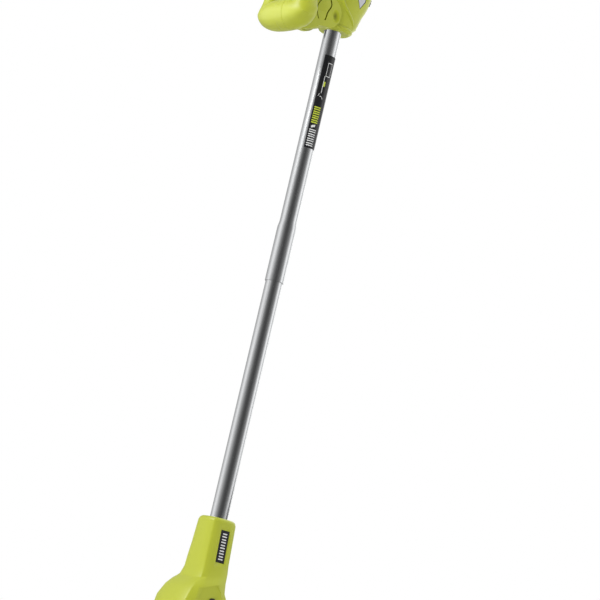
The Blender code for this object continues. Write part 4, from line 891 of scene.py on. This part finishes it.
class TRIMMER_OT_shells(Operator):
    """Finish the lime mouldings: neck, motor pod, housing and front handle"""

    bl_idname = "trimmer.shells"
    bl_label = "Lime shells"

    def execute(self, context):
        edge = sizes().shell_edge
        for node in ("neck_left", "neck_right"):
            rounded_node(node, "lime", sizes().neck_edge, segments=3, seam=False, where=self.neck_corner,
                         **NECK_ANGLES)
        for node in ("pod_left", "pod_right"):
            rounded_node(node, "lime", edge, seam=False, **SHELL_ANGLES)
        for node in ("housing_left", "housing_right"):
            rounded_node(node, "lime", edge, levels=1, **SHELL_ANGLES)
        self.ridge()
        self.lip()
        rounded_node("handle_left", "lime", edge, seam=False, shaping=self.waist, levels=1,
                     carving=self.parting_groove, tools=self.lug_lines(),
                     added=[self.plug(), self.web(LUG_FACE, 0)], **SHELL_ANGLES)
        rounded_node("handle_right", "lime", edge, seam=False, shaping=self.waist, levels=1,
                     added=[self.web(-LUG_INNER, RIGHT_WEB_LIFT)], **SHELL_ANGLES)
        rounded_node("line_spool", "lime", sizes().small_edge)
        self.reflections()
        return {"FINISHED"}

    def reflections(self):
        """Keep the shells out of the tube's gloss, and the soft box's light on the handle's two shells."""
        handle = ("handle_left_form", "handle_right_form")
        for name in (*handle, "housing_left_form", "housing_right_form", "collar_lip"):
            bpy.data.objects[name].visible_glossy = False
        lit = bpy.data.collections.new("handle_shells")
        for name in handle:
            lit.objects.link(bpy.data.objects[name])
        bpy.data.objects["soft_box"].light_linking.receiver_collection = lit

    def waist(self, piece):
        """Draw the loop's arms in, just above its base."""
        for vertex in piece.data.vertices:
            place = vertex.co - HANDLE_FRAME.translation
            if place.x < WAIST_LIMIT:
                rise = min(1.0, max(0.0, (place.z - WAIST_FOOT) / WAIST_RISE))
                fall = min(1.0, max(0.0, (WAIST_TOP - place.z) / WAIST_FALL))
                share = (3 - 2 * rise) * rise * rise * (3 - 2 * fall) * fall * fall
                vertex.co.y *= 1 - WAIST * share

    def neck_corner(self, edge):
        """True for the neck's long soft corners and its rim, not for what is sunk into it."""
        place = TUBE_FRAME.inverted() @ ((edge.verts[0].co + edge.verts[1].co) / 2)
        outside = math.hypot(place.x, place.y) > NECK_OUTSIDE
        return outside and (place.z > NECK_RIM or edge.calc_face_angle(0) < NECK_STEEPEST)

    def ridge(self):
        """Raised line on the housing's left side, from its top to the collar."""
        path = bpy.data.curves.new("side_ridge", "CURVE")
        path.dimensions = "3D"
        path.bevel_depth = RIDGE_RADIUS
        path.bevel_resolution = 3
        line = path.splines.new("NURBS")
        line.points.add(len(RIDGE) - 1)
        for at, (point, spot) in enumerate(zip(line.points, RIDGE)):
            point.co = (*(REAR_FRAME @ Vector(spot)), 1)
            point.radius = RIDGE_END if at in (0, len(RIDGE) - 1) else 1.0
        line.use_endpoint_u = True
        line.order_u = 3
        line.resolution_u = 6
        path.use_fill_caps = True
        ridge = bpy.data.objects.new("side_ridge", path)
        bpy.context.scene.collection.objects.link(ridge)
        only(ridge)
        bpy.ops.object.convert(target="MESH")
        faces_out(ridge)
        dress(smooth(ridge, BEAD_SHADE), "rear", finish_of("lime"), "lime_plastic")

    def lip(self):
        """Rounded lip round the collar where the tube enters."""
        bpy.ops.object.select_all(action="DESELECT")
        bpy.ops.mesh.primitive_torus_add(
            major_segments=64, minor_segments=14, major_radius=LIP_RADIUS, minor_radius=LIP_THICKNESS)
        ring = bpy.context.object
        ring.name = "collar_lip"
        settle(ring, REAR_FRAME @ Matrix.Translation(LIP_PLACE))
        dress(smooth(ring, BEAD_SHADE), "rear", finish_of("lime"), "lime_plastic")

    def lug_lines(self):
        """Wavy parting line, round step and thumb dent on the left lug's face."""
        step = []
        for at in range(STEP_PARTS + 1):
            angle = math.radians(STEP_START + STEP_SWEEP * at / STEP_PARTS)
            step.append((STEP_RADIUS * math.cos(angle), STEP_RADIUS * math.sin(angle)))
        outward = facing(LUG_FACE) @ Matrix.Translation((0, 0, LINE_LIFT))
        tools = [prism(ribbon(WAVE, WAVE_WIDTH), outward, WAVE_DEPTH),
                 prism(ribbon(step, STEP_WIDTH), outward, STEP_DEPTH)]
        bpy.ops.object.select_all(action="DESELECT")
        bpy.ops.mesh.primitive_uv_sphere_add(segments=48, ring_count=40, radius=DENT_RADIUS)
        dent = bpy.context.object
        dent.scale = (DENT_SHAPE[0], 1.0, DENT_SHAPE[1])
        tools.append(settle(dent, Matrix.Translation(HANDLE_FRAME.translation + Vector(DENT_CENTRE))))
        # The grooves get dark lime as painted shade, and the dent gets lime with painted shade darkening
        # towards its middle
        for tool, look in zip(tools, ("groove", "groove", "dent_painted_shade")):
            tool.data.materials.append(finish_of(look))
        return tools

    def parting_groove(self, piece):
        """Fine line round the base bar, where its two mouldings meet."""
        shape = bmesh.new()
        shape.from_mesh(piece.data)
        middle = HANDLE_FRAME @ Vector(BAR_MIDDLE)
        for shift in (-GROOVE_HALF_WIDTH, 0.0, GROOVE_HALF_WIDTH):
            near = [face for face in shape.faces if self.on_bar(face.calc_center_median(), middle)]
            edges = dict.fromkeys(edge for face in near for edge in face.edges)
            ends = dict.fromkeys(vertex for face in near for vertex in face.verts)
            bmesh.ops.bisect_plane(shape, geom=[*near, *edges, *ends], dist=SLICE_REACH,
                                   plane_co=(0, middle.y + shift, 0), plane_no=(0, 1, 0))
        for vertex in shape.verts:
            if abs(vertex.co.y - middle.y) < ON_SLICE and self.on_bar(vertex.co, middle):
                inward = middle - vertex.co
                inward.y = 0
                vertex.co += inward.normalized() * GROOVE_DEPTH
        shape.to_mesh(piece.data)
        shape.free()

    def on_bar(self, point, middle):
        """True for a point on the base bar, between its two ends."""
        beside = abs(point.x - middle.x) < BAR_REACH and abs(point.z - middle.z) < BAR_REACH
        return beside and abs(point.y) < BAR_HALF_WIDTH

    def plug(self):
        """Plug that closes the left lug flush over the bolt's head."""
        return round_tool(PLUG_RADIUS, PLUG_LENGTH, facing(LUG_FACE + PLUG_SINK))

    def web(self, face, lift):
        """Web under a lug's arm that carries the base bar's underside on to the collar."""
        outline = [WEB_BAR_END] + [(x, z + lift) for x, z in WEB_UNDERSIDE] + list(WEB_COLLAR_END)
        return prism(outline, facing(face) @ Matrix.Translation((0, 0, -WEB_SINK)), WEB_DEPTH)


class TRIMMER_OT_tube(Operator):
    """Finish the two tubes, their snap button and the printed wrap"""

    bl_idname = "trimmer.tube"
    bl_label = "Tube and wrap"

    def execute(self, context):
        rounded_node("lower_tube", "tube", FINE_EDGE)
        rounded_node("upper_tube", "tube", TRIM_EDGE)
        rounded_node("snap_button", "steel", TRIM_EDGE)
        start, length = sizes().wrap_start, sizes().wrap_length
        film = self.strip("printed_wrap", WRAP_LEFT, WRAP_RIGHT, start, start + length,
                          lift=FILM_LIFT, thickness=FILM_THICKNESS)
        dress(film, "shaft", finish_of("film"), "black_plastic")
        white = self.bars(start, **WHITE_BARS)
        white += self.moved(start, WHITE_BLOCK, *FRAME_STROKES, *SHORT_STROKES)
        self.marks("wrap_white_marks", white, "white_mark", "light_plate")
        lime = self.bars(start, **LIME_BARS) + self.moved(start, LIME_BLOCK)
        self.marks("wrap_lime_marks", lime, "lime_mark", "lime_plastic")
        return {"FINISHED"}

    def bars(self, start, right, first, pitch, pair):
        """Pairs of plain bars, one pair above the other."""
        made = []
        for at in range(BAR_PAIRS):
            foot = start + first + pitch * at
            made += [(BAR_LEFT, right, foot + low, foot + high, 0.0) for low, high in pair]
        return made

    def moved(self, start, *marks):
        """Single marks, brought to the height at which the wrap starts."""
        return [(left, right, start + low, start + high, lean) for left, right, low, high, lean in marks]

    def marks(self, name, strips, look, slot):
        """Print of one colour on the wrap."""
        made = [self.strip(name + "_" + str(at), left, right, low, high, PRINT_LIFT, PRINT_THICKNESS, lean)
                for at, (left, right, low, high, lean) in enumerate(strips)]
        dress(joined(made, name), "shaft", finish_of(look), slot)

    def strip(self, name, left, right, low, high, lift, thickness, lean=0.0):
        """Curved strip on the tube between two angles and two heights."""
        bpy.ops.object.select_all(action="DESELECT")
        steps = max(3, int(abs(right - left) / STRIP_STEP))
        bpy.ops.mesh.primitive_grid_add(x_subdivisions=steps, y_subdivisions=1, size=1.0)
        piece = bpy.context.object
        piece.name = name
        radius = TUBE_RADIUS + lift
        for vertex in piece.data.vertices:
            share = vertex.co.x + 0.5
            angle = math.radians(left + (right - left) * share)
            height = low + (high - low) * (vertex.co.y + 0.5) + lean * share
            vertex.co = (radius * math.cos(angle), radius * math.sin(angle), height)
        wall = piece.modifiers.new("Film", "SOLIDIFY")
        wall.thickness = thickness
        wall.offset = 1.0
        apply_modifiers(piece)
        settle(piece, TUBE_FRAME)
        faces_out(piece)
        return smooth(piece, STRIP_SHADE)


class TRIMMER_OT_neck(Operator):
    """Finish the neck's badge, screws, pins and release button"""

    bl_idname = "trimmer.neck"
    bl_label = "Neck details"

    def execute(self, context):
        edge = sizes().small_edge
        rounded_node("neck_badge", "film", TRIM_EDGE)
        rounded_node("tilt_button", "black", edge)
        for node in ("neck_screw_front", "neck_screw_rear", "tilt_pin_left", "tilt_pin_right",
                     "pod_screw_front", "pod_screw_rear"):
            rounded_node(node, "steel", FINE_EDGE)
        self.marks()
        return {"FINISHED"}

    def marks(self):
        """Pairs of plain white bars along the badge."""
        place = TUBE_FRAME @ Matrix.Translation((0, BADGE_FLOOR, BADGE_CENTRE))
        place = place @ Matrix.Rotation(BADGE_SLOPE, 4, "X")
        made = []
        for at in range(BADGE_PAIRS):
            middle = (at - BADGE_PAIRS // 2) * BADGE_PITCH
            for shift, width in BADGE_BARS:
                spot = place @ Matrix.Translation((0, -BADGE_FACE, middle + shift))
                made.append(block_tool((width, BADGE_BAR_THICKNESS, BADGE_BAR_HEIGHT), spot))
        dress(joined(made, "badge_marks"), "shaft", finish_of("white_mark"), "light_plate")


class TRIMMER_OT_housing(Operator):
    """Finish the housing's plate, controls, grip and cord gland"""

    bl_idname = "trimmer.housing"
    bl_label = "Housing details"

    def execute(self, context):
        edge = sizes().small_edge
        self.plate()
        for node in ("swivel_lock", "trigger", "lock_off_button", "rear_cap", "swivel_flange", "swivel_bush",
                     "trigger_switch"):
            rounded_node(node, "black", edge)
        for node in ("grip_pad", "cord_gland"):
            rounded_node(node, "rubber", edge)
        for node in ("housing_screw_front", "housing_screw_rear", "trigger_pin"):
            rounded_node(node, "steel", FINE_EDGE)
        return {"FINISHED"}

    def plate(self):
        """Pale plate with a dark border."""
        plate = merged_copy("data_plate", "data_plate_form")
        shape = bmesh.new()
        shape.from_mesh(plate.data)
        outer = [face for face in shape.faces if face.normal.y < PLATE_OUTWARD]
        bmesh.ops.inset_region(shape, faces=outer, thickness=PLATE_BORDER, depth=0.0)
        shape.faces.index_update()
        pale = [face.index for face in outer]
        shape.to_mesh(plate.data)
        shape.free()
        dress(plate, "rear", finish_of("film"), "light_plate", "data_plate")
        plate.data.materials.append(finish_of("plate"))
        for index in pale:
            plate.data.polygons[index].material_index = 1


class TRIMMER_OT_handle(Operator):
    """Finish the front handle's grip, bolt and clamp knob"""

    bl_idname = "trimmer.handle"
    bl_label = "Front handle"

    def execute(self, context):
        rounded_node("handle_grip", "rubber", sizes().small_edge, levels=1)
        rounded_node("handle_knob", "black", sizes().small_edge, angle=30)
        rounded_node("pivot_bolt", "steel", TRIM_EDGE)
        return {"FINISHED"}


class TRIMMER_OT_head(Operator):
    """Finish the guard, the cutting line and the bump-feed spool"""

    bl_idname = "trimmer.head"
    bl_label = "Cutting head"

    def execute(self, context):
        edge = sizes().small_edge
        for node in ("guard", "pod_base", "spool_hub", "hub_cover", "bump_knob"):
            rounded_node(node, "black", edge)
        for node in ("line_cutter", "line_eyelet", "guard_screw_left", "guard_screw_right", "hub_nut"):
            rounded_node(node, "steel", FINE_EDGE)
        self.spring()
        for node in ("cutting_line", "wound_line"):
            rounded_node(node, "line", 0.0)
        return {"FINISHED"}

    def spring(self):
        """Spring of the bump feed, which the knob presses together from below when bumped; here it gets a
        mesh of its own.
        """
        spring = rounded_node("spool_spring", "steel", FINE_EDGE)
        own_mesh(spring)


class TRIMMER_OT_inside(Operator):
    """Finish the motor, its bearings and the lead inside the tube"""

    bl_idname = "trimmer.inside"
    bl_label = "Inner pieces"

    def execute(self, context):
        for node in ("lower_bearing", "upper_bearing", "motor_can", "motor_shaft"):
            bare_node(node, finish_of("steel"))
        for node in ("field_magnet", "rear_brush", "front_brush"):
            bare_node(node, finish_of("ferrite"))
        bare_node("armature", finish_of("copper"))
        bare_node("motor_end_cap", finish_of("black"))
        for node in ("lead_grommet", "motor_lead"):
            bare_node(node, finish_of("rubber"))
        return {"FINISHED"}


class TRIMMER_PT_panel(Panel):
    """Steps that build the trimmer's looks"""

    bl_label = "String trimmer"
    bl_idname = "TRIMMER_PT_panel"
    bl_space_type = "VIEW_3D"
    bl_region_type = "UI"
    bl_category = "Trimmer"

    def draw(self, context):
        layout = self.layout
        for group in (context.scene.trimmer_sizes, context.scene.trimmer_colours):
            column = layout.column()
            for name in group.__annotations__:
                column.prop(group, name)
        for step in STEPS:
            layout.operator(step.bl_idname)


STEPS = (
    TRIMMER_OT_stage, TRIMMER_OT_shells, TRIMMER_OT_tube, TRIMMER_OT_neck, TRIMMER_OT_housing,
    TRIMMER_OT_handle, TRIMMER_OT_head, TRIMMER_OT_inside,
)
CLASSES = (TrimmerSizes, TrimmerColours, *STEPS, TRIMMER_PT_panel)


def register():
    for item in CLASSES:
        bpy.utils.register_class(item)
    bpy.types.Scene.trimmer_sizes = PointerProperty(type=TrimmerSizes)
    bpy.types.Scene.trimmer_colours = PointerProperty(type=TrimmerColours)


def unregister():
    del bpy.types.Scene.trimmer_colours
    del bpy.types.Scene.trimmer_sizes
    for item in reversed(CLASSES):
        bpy.utils.unregister_class(item)


def main():
    register()
    bpy.ops.trimmer.stage()
    bpy.ops.trimmer.shells()
    bpy.ops.trimmer.tube()
    bpy.ops.trimmer.neck()
    bpy.ops.trimmer.housing()
    bpy.ops.trimmer.handle()
    bpy.ops.trimmer.head()
    bpy.ops.trimmer.inside()


if __name__ == "__main__":
    main()
